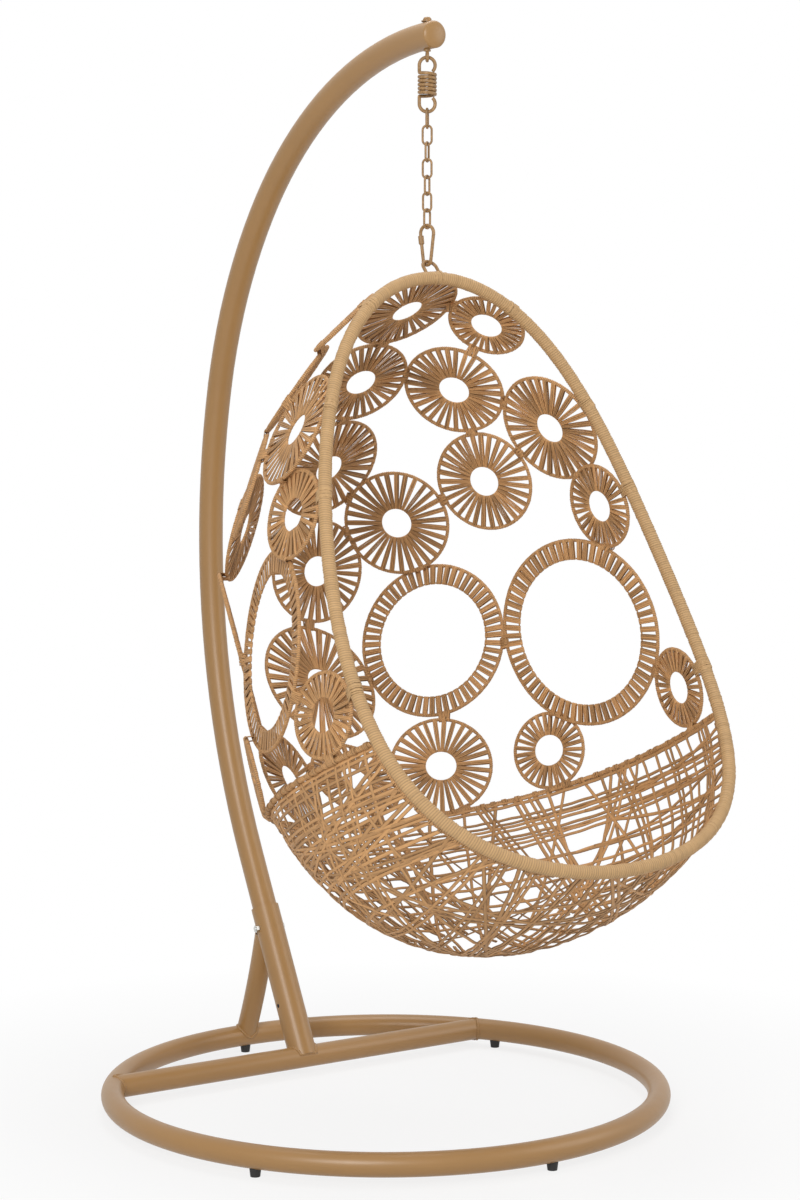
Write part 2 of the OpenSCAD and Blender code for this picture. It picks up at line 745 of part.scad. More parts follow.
module bowl() {
    tops = [for (i = [0 : bowl_cols - 1]) bowl_top(col_angle(i))];
    foot = egg_foot_z;
    spots = [for (share = bowl_levels) for (i = [0 : bowl_cols - 1])
        [col_angle(i), foot + (tops[i] - foot) * pow(share, 1.6)]];
    outer = [for (p = spots) egg_pt(p.x, p.y)];
    inner = [for (p = spots) egg_pt(p.x, p.y) - bowl_wall * egg_normal(p.x, p.y)];
    n = len(spots);
    foot_out = [0, egg_y(foot), foot];
    points = concat(outer, inner, [foot_out, foot_out + [0, 0, bowl_wall]]);
    cells = [for (j = [0 : bowl_rows - 2]) for (i = [0 : bowl_cols - 1]) if (!is_open(i, j)) let (
        i2 = (i + 1) % bowl_cols, a = j * bowl_cols + i, b = j * bowl_cols + i2, a2 = a + bowl_cols,
        b2 = b + bowl_cols, left = (i + bowl_cols - 1) % bowl_cols)
        each concat(panel(a, b, b2, a2), panel(a2 + n, b2 + n, b + n, a + n),
            is_open(i2, j) ? panel(b2, b, b + n, b2 + n) : [],
            is_open(left, j) ? panel(a, a2, a2 + n, a + n) : [],
            is_open(i, j - 1) ? panel(b, a, a + n, b + n) : [],
            is_open(i, j + 1) ? panel(a2, b2, b2 + n, a2 + n) : [])];
    floor_faces = [for (i = [0 : bowl_cols - 1]) let (i2 = (i + 1) % bowl_cols)
        each [[2 * n, i2, i], [2 * n + 1, n + i, n + i2]]];
    color(wicker) polyhedron(points, concat(cells, floor_faces), convexity = 10);
}

function panel(a, b, c, d) = [[a, b, c], [a, c, d]];

// ---------------------------------------------------------------- woven rings
// Each ring: angle round the egg, place on the way from the bowl's edge to the
// egg's top, radius, turn and tilt away from the egg's own direction. The middle
// ones climb the back; each side one has a twin on the other side.
middle_rings = [
    [4, 0.9547, 100, -15, 0],
    [2.5, 0.8248, 94, 0, -4],
    [5, 0.6615, 110, -15, 0],
    [7.5, 0.4527, 101, -10, 0],
    [1.5, 0.2336, 124, -9, 0],
    [-1, 0.0664, 92, -5, 0]];
side_rings = [
    [62.5, 0.9193, 73, 0, 0],
    [43.5, 0.8039, 97, 6, 0],
    [78.5, 0.7057, 106, -4, 6],
    [55, 0.6147, 98, -5, 0],
    [31, 0.5432, 104, 4, 0],
    [87, 0.5275, 80, 0, 0],
    [37.5, 0.3001, 150, 11, -4],
    [76.5, 0.282, 176, -8, 0],
    [99, 0.1056, 74, 0, 5],
    [58.5, 0.068, 74, 0, 8],
    [27, 0.0714, 98, 6, 14]];
egg_round = 420;

// The radii are drawn for an egg of this half width and height; in a narrower or
// lower one the rings are made smaller, so that they still find room
plan_half_w = 375;
plan_h = 1174;
ring_fit = min(1, egg_half_w / plan_half_w, egg_h / plan_h);
big_from = 140 * ring_fit;

// A ring as [centre, outward normal, radius], set in so that its hoop meets the egg
function placed(row) = let (low = edge_pt(row[0]).z, z = low + row[1] * (egg_top_z - low),
    n = egg_normal(row[0], z), az = atan2(n.x, n.y) + row[3], el = asin(n.z) + row[4],
    r = row[2] * ring_fit)
    [egg_pt(row[0], z) - n * r * r / 2 / egg_round, [sin(az) * cos(el), cos(az) * cos(el), sin(el)], r];
function twin(ring) = [[-ring[0].x, ring[0].y, ring[0].z], [-ring[1].x, ring[1].y, ring[1].z], ring[2]];
middle_set = [for (row = middle_rings) placed(row)];
right_set = [for (row = side_rings) placed(row)];
left_set = [for (ring = right_set) twin(ring)];

module woven_ring(ring) {
    r = ring[2];
    big = r > big_from;
    hole = big ? r - band_w : small_hole_d / 2;
    count = big ? big_spokes : spokes;
    low = hole + hub_d;
    high = r - hoop_d;
    fill = big ? 0.62 : 0.55;
    gap = 180 / count * (1 - fill);
    n = ring[1];
    color(wicker) translate(ring[0]) rotate([0, acos(n.z), atan2(n.y, n.x)]) difference() {
        rotate_extrude() {
            translate([r - hoop_d / 2, 0]) circle(d = hoop_d);
            translate([hole + hub_d / 2, 0]) circle(d = hub_d);
            translate([hole + hub_d / 2, -spoke_t / 2]) square([r - hole - (hoop_d + hub_d) / 2, spoke_t]);
        }
        for (k = [0 : count - 1]) {
            rotate([0, 0, 360 * (k + 0.5) / count]) translate([0, 0, -spoke_t])
                linear_extrude(2 * spoke_t) polygon([
                    [low * cos(gap / 2), low * sin(gap / 2)], [low * cos(gap / 2), -low * sin(gap / 2)],
                    [high * cos(gap), -high * sin(gap)], [high * cos(gap), high * sin(gap)]]);
        }
    }
}

// ---------------------------------------------------------------- ties
// A tie is a round knot in the groove between two hoops, or between a hoop and
// the rim or the edge wire. A hoop is the circle of its tube's middle line.
tie_play = 0.25;
knot_r = 3;
function hoop_near(p, ring) = let (d = p - ring[0], flat = d - ring[1] * (d * ring[1]))
    ring[0] + unit(flat) * (ring[2] - hoop_d / 2);

// The two nearest points of two hoops, by going back and forth between them
function meet(p, a, b, n = 14) = n == 0 ? [hoop_near(p, a), hoop_near(hoop_near(p, a), b)]
    : meet(hoop_near(hoop_near(p, a), b), a, b, n - 1);
function meet_path(p, a, path, closed, n = 14) = let (q = hoop_near(p, a), s = path_near(q, path, closed))
    n == 0 ? [q, s] : meet_path(s, a, path, closed, n - 1);

// A knot's centre keeps the distance da from the first line and db from the second
function settle(s, near_a, near_b, da, db) = let (va = s - near_a, vb = s - near_b, ga = unit(va),
    gb = unit(vb), fa = da - norm(va), fb = db - norm(vb), c = ga * gb, k = max(1 - c * c, 0.05))
    s + ga * (fa - c * fb) / k + gb * (fb - c * fa) / k;
function settle_rings(s, a, b, da, db, n = 8) = n == 0 ? s
    : settle_rings(settle(s, hoop_near(s, a), hoop_near(s, b), da, db), a, b, da, db, n - 1);
function settle_path(s, a, path, closed, da, db, n = 8) = n == 0 ? s
    : settle_path(settle(s, hoop_near(s, a), path_near(s, path, closed), da, db), a, path, closed,
        da, db, n - 1);

function knot_start(ends, out) = (ends[0] + ends[1]) / 2 + out * hoop_d;
function knot_size(ends, other_r) = knot_r + (norm(ends[0] - ends[1]) - hoop_d / 2 - other_r) / 2;

// Whether a knot stays clear of a ring's flat spokes
function off_spokes(s, size, ring) = let (d = s - ring[0], h = d * ring[1],
    beyond = max(0, norm(d - ring[1] * h) - ring[2] + hoop_d / 2))
    norm([h, beyond]) > size + spoke_t / 2 + tie_play;

// The knot sits outside the egg if it has room there, or else inside
function ring_knot(a, b, ends, out, size) = let (away = size + hoop_d / 2 + tie_play)
    settle_rings(knot_start(ends, out), a, b, away, away);
function path_knot(a, path, closed, r, ends, out, size) = settle_path(knot_start(ends, out), a, path,
    closed, size + hoop_d / 2 + tie_play, size + r + tie_play);

module knot(places, size, near) {
    free = [for (s = places) if (min([for (ring = near) off_spokes(s, size, ring) ? 1 : 0]) > 0) s];
    if (size < knot_r + tie_reach / 2 && len(free) > 0) {
        translate(free[0]) sphere(r = size, $fn = 24);
    }
}

module tie_rings(a, b) {
    ends = meet((a[0] + b[0]) / 2, a, b);
    out = unit(a[1] + b[1]);
    size = knot_size(ends, hoop_d / 2);
    knot([for (side = [1, -1]) ring_knot(a, b, ends, side * out, size)], size, [a, b]);
}

module tie_path(a, path, closed, r) {
    ends = meet_path(path_near(a[0], path, closed), a, path, closed);
    size = knot_size(ends, r);
    knot([for (side = [1, -1]) path_knot(a, path, closed, r, ends, side * a[1], size)], size, [a]);
}

// Neighbours: middle with middle, middle with side, side with side, by their places
middle_pairs = [[0, 1], [1, 2], [2, 3], [3, 4], [4, 5]];
cross_pairs = [[0, 0], [1, 1], [2, 4], [3, 4], [4, 6], [5, 10]];
side_pairs = [[0, 1], [1, 2], [1, 3], [2, 3], [2, 5], [3, 4], [4, 6], [5, 7], [6, 7], [6, 10],
    [7, 8], [7, 9]];
rim_side = [0, 2, 5, 8];
edge_side = [8, 9, 10];

module ring_ties() {
    color(wicker) {
        for (p = middle_pairs) {
            tie_rings(middle_set[p[0]], middle_set[p[1]]);
        }
        for (side = [right_set, left_set]) {
            for (p = cross_pairs) {
                tie_rings(middle_set[p[0]], side[p[1]]);
            }
            for (p = side_pairs) {
                tie_rings(side[p[0]], side[p[1]]);
            }
            for (k = rim_side) {
                tie_path(side[k], rim_path, true, rim_d / 2);
            }
            for (k = edge_side) {
                tie_path(side[k], edge_path, false, edge_d / 2);
            }
        }
        tie_path(middle_set[0], rim_path, true, rim_d / 2);
        tie_path(middle_set[5], edge_path, false, edge_d / 2);
    }
}

// ---------------------------------------------------------------- what is drawn
base_ring();
crossbar();
feet();
socket();
rear_brace();
pole();
pole_cap();
socket_bolt();
socket_nut();
set_screw();
eye_bolt();
eye_nut();
spring_top_hook();
spring();
spring_lower_hook();
chain_link(1);  // link_1
chain_link(2);  // link_2
chain_link(3);  // link_3
chain_link(4);  // link_4
chain_link(5);  // link_5
chain_link(6);  // link_6
chain_link(7);  // link_7
carabiner();
gate_pin();
carabiner_gate();
lock_sleeve();
rim_loop();
rim();
edge_wire();
bowl();
ring_ties();
woven_ring(middle_set[0]);  // ring_c1
woven_ring(middle_set[1]);  // ring_c2
woven_ring(middle_set[2]);  // ring_c3
woven_ring(middle_set[3]);  // ring_c4
woven_ring(middle_set[4]);  // ring_c5
woven_ring(middle_set[5]);  // ring_c6
woven_ring(right_set[0]);  // ring_r1
woven_ring(right_set[1]);  // ring_r2
woven_ring(right_set[2]);  // ring_r3
woven_ring(right_set[3]);  // ring_r4
woven_ring(right_set[4]);  // ring_r5
woven_ring(right_set[5]);  // ring_r6
woven_ring(right_set[6]);  // ring_r7
woven_ring(right_set[7]);  // ring_r8
woven_ring(right_set[8]);  // ring_r9
woven_ring(right_set[9]);  // ring_r10
woven_ring(right_set[10]);  // ring_r11
woven_ring(left_set[0]);  // ring_l1
woven_ring(left_set[1]);  // ring_l2
woven_ring(left_set[2]);  // ring_l3
woven_ring(left_set[3]);  // ring_l4
woven_ring(left_set[4]);  // ring_l5
woven_ring(left_set[5]);  // ring_l6
woven_ring(left_set[6]);  // ring_l7
woven_ring(left_set[7]);  // ring_l8
woven_ring(left_set[8]);  // ring_l9
woven_ring(left_set[9]);  // ring_l10
woven_ring(left_set[10]);  // ring_l11
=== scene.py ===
"""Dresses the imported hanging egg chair: coated stand, wound rim, woven rings, basket weave."""

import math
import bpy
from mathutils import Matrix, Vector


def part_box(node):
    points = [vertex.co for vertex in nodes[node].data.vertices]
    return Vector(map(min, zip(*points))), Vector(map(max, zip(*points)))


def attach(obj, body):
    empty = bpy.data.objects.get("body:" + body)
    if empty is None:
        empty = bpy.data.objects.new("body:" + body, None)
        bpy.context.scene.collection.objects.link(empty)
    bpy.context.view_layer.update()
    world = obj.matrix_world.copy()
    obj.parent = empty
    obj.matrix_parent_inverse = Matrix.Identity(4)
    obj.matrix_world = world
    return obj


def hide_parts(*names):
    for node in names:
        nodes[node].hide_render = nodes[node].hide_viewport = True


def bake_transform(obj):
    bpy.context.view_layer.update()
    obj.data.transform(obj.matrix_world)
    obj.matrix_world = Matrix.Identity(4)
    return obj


bl_info = {
    "name": "Hanging egg chair",
    "version": (1, 0, 0),
    "blender": (4, 5, 0),
    "location": "3D View > Sidebar > Egg chair",
    "description": "Puts the coated steel, the wound rim and the wicker on the hanging egg chair",
    "category": "Object",
}

import bmesh
import bpy
import numpy as np
from mathutils import Vector

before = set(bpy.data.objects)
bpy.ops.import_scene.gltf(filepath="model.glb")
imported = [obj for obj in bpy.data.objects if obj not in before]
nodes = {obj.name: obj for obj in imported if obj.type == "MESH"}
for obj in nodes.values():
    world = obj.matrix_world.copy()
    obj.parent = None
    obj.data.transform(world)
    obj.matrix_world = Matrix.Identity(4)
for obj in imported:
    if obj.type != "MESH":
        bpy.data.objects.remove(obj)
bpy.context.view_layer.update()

# Lengths are in metres and angles in degrees. The chair's sizes are those of its part.

# Base ring, cross bar and socket; a TUBE is the radius of a tube
BASE_Y = 0.0228
BASE_Z = 0.034
BASE_RADIUS = 0.504
BASE_TUBE = 0.021
BAR_Y = 0.3088
POLE_LEAN = 27.5
SOCKET_TUBE = 0.0273

# Spring: its coil, the bends from coil to hooks, and the start that lies in a hook
SPRING_WIRE = 0.0062
SPRING_RADIUS = 0.014
SPRING_TURNS = 6
SPRING_BEND = 0.007
SPRING_LEAD = 0.0014
SPRING_PLAY = 0.0002
HOOK_YAW = -30

# Egg, at a height u from -1 to 1: half width, half depth and set-back of its middle,
# each with its share of u and of u * u, and the radius by which flat rings sink into it
CHAIN_Y = -0.107914
FOOT_Z = 0.344907
EGG_HEIGHT = 1.174
HALF_WIDTH, TAPER, FULLNESS = 0.375, 0.092, 0.092
HALF_DEPTH, SLIP, FLATNESS = 0.587, 0.038, 0.285
EGG_SET, RAKE, BACKSET = -0.137, 0.098, 0.013
EGG_ROUND = 0.42

# Rim: its foot and top, its place at the top and half way up, and the curl of its line
RIM_TUBE = 0.0115
RIM_FOOT_Z = FOOT_Z + 0.195
RIM_TOP_Z = FOOT_Z + EGG_HEIGHT
RIM_HEAD = CHAIN_Y - 0.026
RIM_WAIST = CHAIN_Y - 0.223
RIM_CURL = 0.032

# Bowl's edge, the angle at which it meets the rim, and the wire behind the rim
EDGE_TUBE = 0.005
EDGE_RISE = 0.246
EDGE_SLOPE = math.tan(math.radians(24))
EDGE_TURN = 111.65
SELVAGE_TUBE = 0.0036

# Fibres of a straw: how many lie across and along a metre, and the step between straws
FIBRES_ACROSS = 2600
FIBRES_ALONG = 55
FIBRE_STEP = 173

# Windings: distance and rows of points from turn to turn, how far each row stands out,
# how much the turns differ in size and tone, and the painted shade of their grooves
TURN_PITCH = 0.0036
TURN_ROWS = 3
TURN_SWELL = (-1.0, 0.55, 0.55)
TURN_UNEVEN = 0.35
TURN_TONE = 0.1
GROOVE_SHADOW = 0.9
TONES = (0.02, 0.98)

# Woven rings: hoop, hub and hole, the radius from which a ring is a band round a hole,
# and the radius of a band with as many strips as the setting says
HOOP_WIRE = 0.007
HOOP_CORE = 0.0019
HUB_CORE = 0.0015
HUB_SET = 0.0022
SMALL_HOLE = 0.029
BAND_WIDTH = 0.040
BIG_FROM = 0.140
BAND_RADIUS = 0.16

# Strips of a ring: straws in each, their overlap, share of the hub that they cover, their
# play, their rise over the wires, and how many are dark
STRAWS = 3
STRAW_THICK = 0.0011
STRAW_OVERLAP = 1.14
HUB_FILL, BAND_HUB_FILL = 0.94, 0.72
STRIP_PLAY, STRIP_SKEW, STRAW_PLAY = 0.07, 0.12, 0.0003
STRAW_HEIGHT, STRAW_STEP, STRAW_LIFT = 0.002, 0.00022, 0.0002
STRAW_TONE, TONE_SPREAD = 0.53, 0.14
DARK_SHARE, DARKER = 0.22, 0.35

# Ties and cuffs: widest gap, radius round a hoop, loops and their spacing, width of a straw
TIE_REACH = 0.016
TIE_TUBE = 0.0041
TIE_LOOPS = 7
TIE_LEAN = 0.0012
CUFF_LOOPS = 3
CUFF_LEAN = 0.001
LOOP_SPACING = 0.003
LOOP_WIDTH = 0.0032
NEAR_ROUNDS = 14

# Bowl's canes: steps of their lines, runs along the edge, and steep ones
TRACE_REACH = 2.4
TRACE_STEP = 0.011
LEVEL_DEPTH = 0.29
LEVEL_STEP = 2.0
LEVEL_TILT, LEVEL_TILT_GROWTH = 0.7, 10
LEVEL_LEAST = 20
STEEP_TURNS, STEEP_SPREAD = (14, 0), 4
SLANT_SHARE, SLANTS = 0.22, (12, 30)
LONG_SHARE, SHORT_REACH = 0.3, (0.26, 0.46)
CANE_DEPTH, CANE_WAVE, CANE_WAVELENGTH = 0.0025, 0.0009, (0.045, 0.07)
PAIR_SHARE, PAIR_GAP = 0.3, (0.0078, 0.011)

# Dark canes under the bowl: place as a share of the egg's half width, and turn
UNDER_CANES = ((-0.6, 10), (-0.2, -6), (0.24, 8), (0.6, -10))
UNDER_START = (-0.1, FOOT_Z + 0.1)
UNDER_WIDTH, UNDER_DEPTH, UNDER_TONE = 0.0042, 0.005, 0.04

# Woven rings: angle round the egg, share of the way from the bowl's edge to the egg's
# top, radius, turn and tilt
MIDDLE_RINGS = (
    (4, 0.9547, 0.100, -15, 0),
    (2.5, 0.8248, 0.094, 0, -4),
    (5, 0.6615, 0.110, -15, 0),
    (7.5, 0.4527, 0.101, -10, 0),
    (1.5, 0.2336, 0.124, -9, 0),
    (-1, 0.0664, 0.092, -5, 0),
)
SIDE_RINGS = (
    (62.5, 0.9193, 0.073, 0, 0),
    (43.5, 0.8039, 0.097, 6, 0),
    (78.5, 0.7057, 0.106, -4, 6),
    (55, 0.6147, 0.098, -5, 0),
    (31, 0.5432, 0.104, 4, 0),
    (87, 0.5275, 0.080, 0, 0),
    (37.5, 0.3001, 0.150, 11, -4),
    (76.5, 0.282, 0.176, -8, 0),
    (99, 0.1056, 0.074, 0, 5),
    (58.5, 0.068, 0.074, 0, 8),
    (27, 0.0714, 0.098, 6, 14),
)

# Rings that are tied: a middle and a side one, two side ones, and side ones that hang on
# the rim or on the bowl's edge
CROSS_PAIRS = ((0, 0), (1, 1), (2, 4), (3, 4), (4, 6), (5, 10))
SIDE_PAIRS = (
    (0, 1), (1, 2), (1, 3), (2, 3), (2, 5), (3, 4),
    (4, 6), (5, 7), (6, 7), (6, 10), (7, 8), (7, 9),
)
RIM_SIDE = (0, 2, 5, 8)
EDGE_SIDE = (8, 9, 10)

# Lamps: place, point that each looks at, size, and power as a share of the key light's
LAMPS = {
    "key_light": ((-3.4, -3.0, 2.6), (0, 0, 0.9), 2.2, 1),
    "fill_light": ((2.9, -2.7, 2.4), (0, 0, 0.9), 3.0, 0.32),
    "top_light": ((0.4, 0.6, 4.2), (0, 0, 0.6), 2.4, 0.42),
}
CAMERA_PLACE = (-2.731, -4.013, 1.297)
CAMERA_DIP = 4.19
CAMERA_TURN = 34.39


def linear(red, green, blue):
    """An sRGB colour of 0 to 255 as the linear colour that a shader takes."""
    parts = [c / 255 for c in (red, green, blue)]
    return [c / 12.92 if c <= 0.04045 else ((c + 0.055) / 1.055) ** 2.4 for c in parts]


# ---- settings
def colour_setting(name, description, default):
    """A colour in the panel."""
    return bpy.props.FloatVectorProperty(
        name=name, description=description, subtype="COLOR", size=3, min=0, max=1,
        default=default,
    )


def length_setting(name, description, low, high, default):
    """A length in the panel, in metres."""
    return bpy.props.FloatProperty(
        name=name, description=description, subtype="DISTANCE", unit="LENGTH",
        min=low, max=high, default=default,
    )


class CHAIR_PG_stand(bpy.types.PropertyGroup):
    """Colours of the coated steel."""

    coat: colour_setting("Coat", "Colour of the powder coat", linear(161, 122, 73))
    chain: colour_setting("Chain", "Colour of spring, chain and hook", linear(164, 126, 80))
    bead: length_setting("Weld bead", "Radius of the weld beads", 0.0005, 0.004, 0.0028)


class CHAIR_PG_wicker(bpy.types.PropertyGroup):
    """Sizes and colours of the wicker."""

    straw: colour_setting("Wicker", "Middle colour of the wicker", linear(198, 150, 98))
    binding: colour_setting("Binding", "Middle colour of the binding", linear(196, 158, 110))
    fill: bpy.props.FloatProperty(
        name="Fill", description="Share of a small ring's hoop that its strips cover",
        subtype="FACTOR", min=0.3, max=0.7, default=0.42,
    )
    band_fill: bpy.props.FloatProperty(
        name="Band fill", description="Share of a large ring's hoop that its strips cover",
        subtype="FACTOR", min=0.4, max=0.8, default=0.58,
    )
    strips: bpy.props.IntProperty(
        name="Strips", description="Strips of straws in a small ring", min=20, max=48, default=31,
    )
    band_strips: bpy.props.IntProperty(
        name="Band strips", description="Strips of straws in a large ring",
        min=40, max=80, default=60,
    )
    pitch: length_setting(
        "Binding pitch", "Distance from turn to turn of the rim's binding", 0.002, 0.006, 0.0042,
    )
    cane: length_setting("Cane", "Width of a cane of the bowl", 0.003, 0.009, 0.0068)
    cane_gap: length_setting(
        "Cane spacing", "Mean distance between canes that leave the edge", 0.02, 0.1, 0.035,
    )
    level_gap: length_setting(
        "Level spacing", "Mean distance between the canes along the edge", 0.01, 0.05, 0.019,
    )
    seed: bpy.props.IntProperty(
        name="Seed", description="Another number gives another weave", min=0, default=7,
    )


class CHAIR_PG_stage(bpy.types.PropertyGroup):
    """Light and floor."""

    floor: colour_setting("Floor", "Colour of the floor", (0.8, 0.8, 0.8))
    glow: bpy.props.FloatProperty(
        name="Floor whiteness", description="How far the floor under the chair shows as white",
        subtype="FACTOR", min=0, max=1, default=0.8,
    )
    key: bpy.props.FloatProperty(
        name="Key light", description="Power of the large front light", subtype="POWER",
        unit="POWER", min=0, default=128,
    )
    sky: bpy.props.FloatProperty(
        name="Sky", description="Strength of the even light from all round", min=0, default=0.36,
    )


# ---- materials
class Value:
    """A node's output, which adds, subtracts and multiplies by Math nodes."""

    def __init__(self, finish, socket):
        self.finish, self.socket = finish, socket

    def calc(self, operation, first, second):
        """The result of one Math node."""
        return self.finish.node("Math", {"operation": operation}, {0: first, 1: second})

    def __add__(self, other):
        return self.calc("ADD", self, other)

    def __sub__(self, other):
        return self.calc("SUBTRACT", self, other)

    def __rsub__(self, other):
        return self.calc("SUBTRACT", other, self)

    def __mul__(self, other):
        return self.calc("MULTIPLY", self, other)

    __radd__, __rmul__ = __add__, __mul__


class Finish:
    """A material or world that is being made; every node of it comes from node()."""

    def __init__(self, name, home=None):
        self.material = home or bpy.data.materials.new(name)
        self.material.use_nodes = True
        self.tree = self.material.node_tree
        self.tree.nodes.clear()

    def node(self, kind, settings=None, sockets=None, output=0):
        """A new node with its settings and inputs; returns one of its outputs."""
        made = self.tree.nodes.new("ShaderNode" + kind)
        for name, value in (settings or {}).items():
            if name == "stops":
                self.set_stops(made.color_ramp, value)
            else:
                setattr(made, name, value)
        for name, value in (sockets or {}).items():
            if isinstance(value, Value):
                self.tree.links.new(value.socket, made.inputs[name])
            else:
                made.inputs[name].default_value = value
        return Value(self, made.outputs[output]) if made.outputs else None

    @staticmethod
    def set_stops(ramp, stops):
        """Gives a colour ramp its stops, each a position and a colour."""
        while len(ramp.elements) < len(stops):
            ramp.elements.new(1)
        for element, (position, colour) in zip(ramp.elements, stops):
            element.position, element.color = position, (*colour[:3], 1)

    def noise(self, vector, scale, detail=2, rough=0.5):
        """Smooth noise of 0 to 1."""
        return self.node(
            "TexNoise", None,
            {"Vector": vector, "Scale": scale, "Detail": detail, "Roughness": rough},
        )

    def blend(self, share, first, second):
        """A colour between two others, which go to sockets 6 and 7 of a Mix node."""
        return self.node(
            "Mix", {"data_type": "RGBA"},
            {"Factor": share, 6: self.colour(first), 7: self.colour(second)}, output=2,
        )

    @staticmethod
    def colour(value):
        """A colour with its fourth part, if it is not a socket."""
        return value if isinstance(value, Value) else (*value[:3], 1)

    def object_point(self):
        """A point of the piece, in metres."""
        return self.node("TexCoord", output=3)

    def seen(self):
        """One for the rays that show what lies behind the chair, or nought for light."""
        camera, mirror, glass = (
            self.node("LightPath", output="Is %s Ray" % kind)
            for kind in ("Camera", "Glossy", "Transmission")
        )
        return camera + mirror + glass

    def shader(self, colour, roughness, height=None, depth=0.0005, strength=0.5, **fixed):
        """A Principled shader with its bump."""
        sockets = {"Base Color": self.colour(colour), "Roughness": roughness}
        sockets.update({name.replace("_", " "): value for name, value in fixed.items()})
        if height is not None:
            sockets["Normal"] = self.node(
                "Bump", None, {"Strength": strength, "Distance": depth, "Height": height}
            )
        return self.node("BsdfPrincipled", None, sockets)

    def surface(self, *values, **fixed):
        """Ends the material in one Principled shader."""
        self.node("OutputMaterial", None, {"Surface": self.shader(*values, **fixed)})
        return self.material


def shade(colour, factor):
    """A colour made darker or lighter."""
    return [min(1.0, c * factor) for c in colour[:3]]


def powder_coat(name, colour):
    """Satin powder coat with its fine orange peel and slow changes of tone."""
    finish = Finish(name)
    point = finish.object_point()
    cloud = finish.noise(point, scale=5, detail=3)
    peel = finish.noise(point, scale=900)
    tone = finish.blend(cloud, shade(colour, 0.93), shade(colour, 1.07))
    rough = 0.36 + 0.08 * finish.noise(point, scale=60, detail=3)
    return finish.surface(
        tone, rough, peel, depth=0.0002, strength=0.12, Coat_Weight=0.12, Coat_Roughness=0.25
    )


def rubbed_coat(name, colour):
    """The same coat on the chain, rubbed darker in small spots."""
    finish = Finish(name)
    point = finish.object_point()
    spots = finish.node(
        "ValToRGB", {"stops": ((0.42, (0, 0, 0)), (0.62, (1, 1, 1)))},
        {"Fac": finish.noise(point, scale=240, detail=4, rough=0.6)},
    )
    tone = finish.blend(spots, shade(colour, 0.72), shade(colour, 1.1))
    peel = finish.noise(point, scale=1200)
    return finish.surface(tone, 0.45, peel, depth=0.0002, strength=0.2)


def zinc_plate(name):
    """Bright zinc on bolt and nut, with fine scratches."""
    finish = Finish(name)
    point = finish.object_point()
    drawn_out = finish.node("Mapping", None, {"Vector": point, "Scale": (900, 60, 60)})
    scratch = finish.noise(drawn_out, scale=1, detail=3)
    tone = finish.blend(scratch, (0.52, 0.52, 0.5), (0.72, 0.72, 0.7))
    rough = 0.24 + 0.16 * scratch
    return finish.surface(tone, rough, scratch, depth=0.0001, strength=0.15, Metallic=1.0)


def moulded_black(name):
    """Matte black plastic and blackened steel."""
    finish = Finish(name)
    point = finish.object_point()
    grit = finish.noise(point, scale=1100, detail=3)
    tone = finish.blend(grit, (0.006, 0.006, 0.006), (0.02, 0.019, 0.018))
    return finish.surface(tone, 0.55 + 0.2 * grit, grit, depth=0.0002, strength=0.3)


def fibres(finish):
    """A straw's tone, the place along it in metres, its painted shade at edges and grooves, and its
    fibres.
    """
    grain = finish.node("Attribute", {"attribute_name": "grain"}, output=1)
    across, along, tone = (
        finish.node("SeparateXYZ", None, {"Vector": grain}, output=part) for part in range(3)
    )
    place = finish.node("CombineXYZ", None, {
        "X": across * FIBRES_ACROSS, "Y": along * FIBRES_ALONG, "Z": tone * FIBRE_STEP,
    })
    # painted shade: the shadow attribute, darkest at a straw's edges and in the grooves of windings
    painted_shade = finish.node("Attribute", {"attribute_name": "shadow"}, output=2)
    return tone, along, painted_shade, finish.noise(place, scale=1, detail=3, rough=0.6)


def wicker_straw(name, colour, contrast=1.0):
    """Twisted paper-like straw: each one has its own tone, with fibres along it."""
    finish = Finish(name)
    tone, along, painted_shade, fibre = fibres(finish)
    place = finish.node("CombineXYZ", None, {"X": along * 14, "Y": tone * 61})
    patch = finish.noise(place, scale=1)
    # painted shade takes colour away where the shadow attribute is high
    level = tone * 0.62 + fibre * 0.42 + patch * 0.3 - painted_shade * 0.7 - 0.04
    changes = ((0.0, -0.62), (0.3, -0.3), (0.6, 0), (1.0, 0.36))
    body = finish.node(
        "ValToRGB",
        {"stops": [(at, shade(colour, 1 + change * contrast)) for at, change in changes]},
        {"Fac": level},
    )
    return finish.surface(body, 0.5 + 0.24 * fibre, fibre, depth=0.0006, strength=0.6)


# ---- shape of the basket
def unit(vectors):
    """Vectors of length one."""
    vectors = np.asarray(vectors, float)
    return vectors / np.maximum(np.linalg.norm(vectors, axis=-1, keepdims=True), 1e-12)


def egg_level(z):
    """Half width, half depth and middle of the egg at a height, before its rounding."""
    u = np.clip(2 * (z - FOOT_Z) / EGG_HEIGHT - 1, -1, 1)
    wide = HALF_WIDTH - TAPER * u + FULLNESS * u * u
    deep = HALF_DEPTH - SLIP * u - FLATNESS * u * u
    return u, wide, deep, CHAIN_Y + EGG_SET + RAKE * u + BACKSET * u * u


def egg_point(angle, z):
    """A point of the egg at an angle in degrees from its back towards +X."""
    u, wide, deep, middle = egg_level(z)
    end = np.sqrt(max(1 - u * u, 0))
    turn = math.radians(angle)
    return np.array([end * wide * math.sin(turn), middle + end * deep * math.cos(turn), z])


def egg_excess(p):
    """Zero on the egg, negative inside."""
    _, wide, deep, middle = egg_level(p[2])
    u = 2 * (p[2] - FOOT_Z) / EGG_HEIGHT - 1
    return (p[0] / wide) ** 2 + ((p[1] - middle) / deep) ** 2 + u * u - 1


def egg_slope(p):
    """The gradient of egg_excess, which points outwards."""
    step = 1e-4
    return np.array([
        (egg_excess(p + d) - egg_excess(p - d)) / (2 * step) for d in np.eye(3) * step
    ])


def onto_egg(p):
    """The point moved onto the egg, and the outward direction there."""
    for _ in range(3):
        slope = egg_slope(p)
        p = p - slope * egg_excess(p) / (slope @ slope)
    return p, unit(slope)


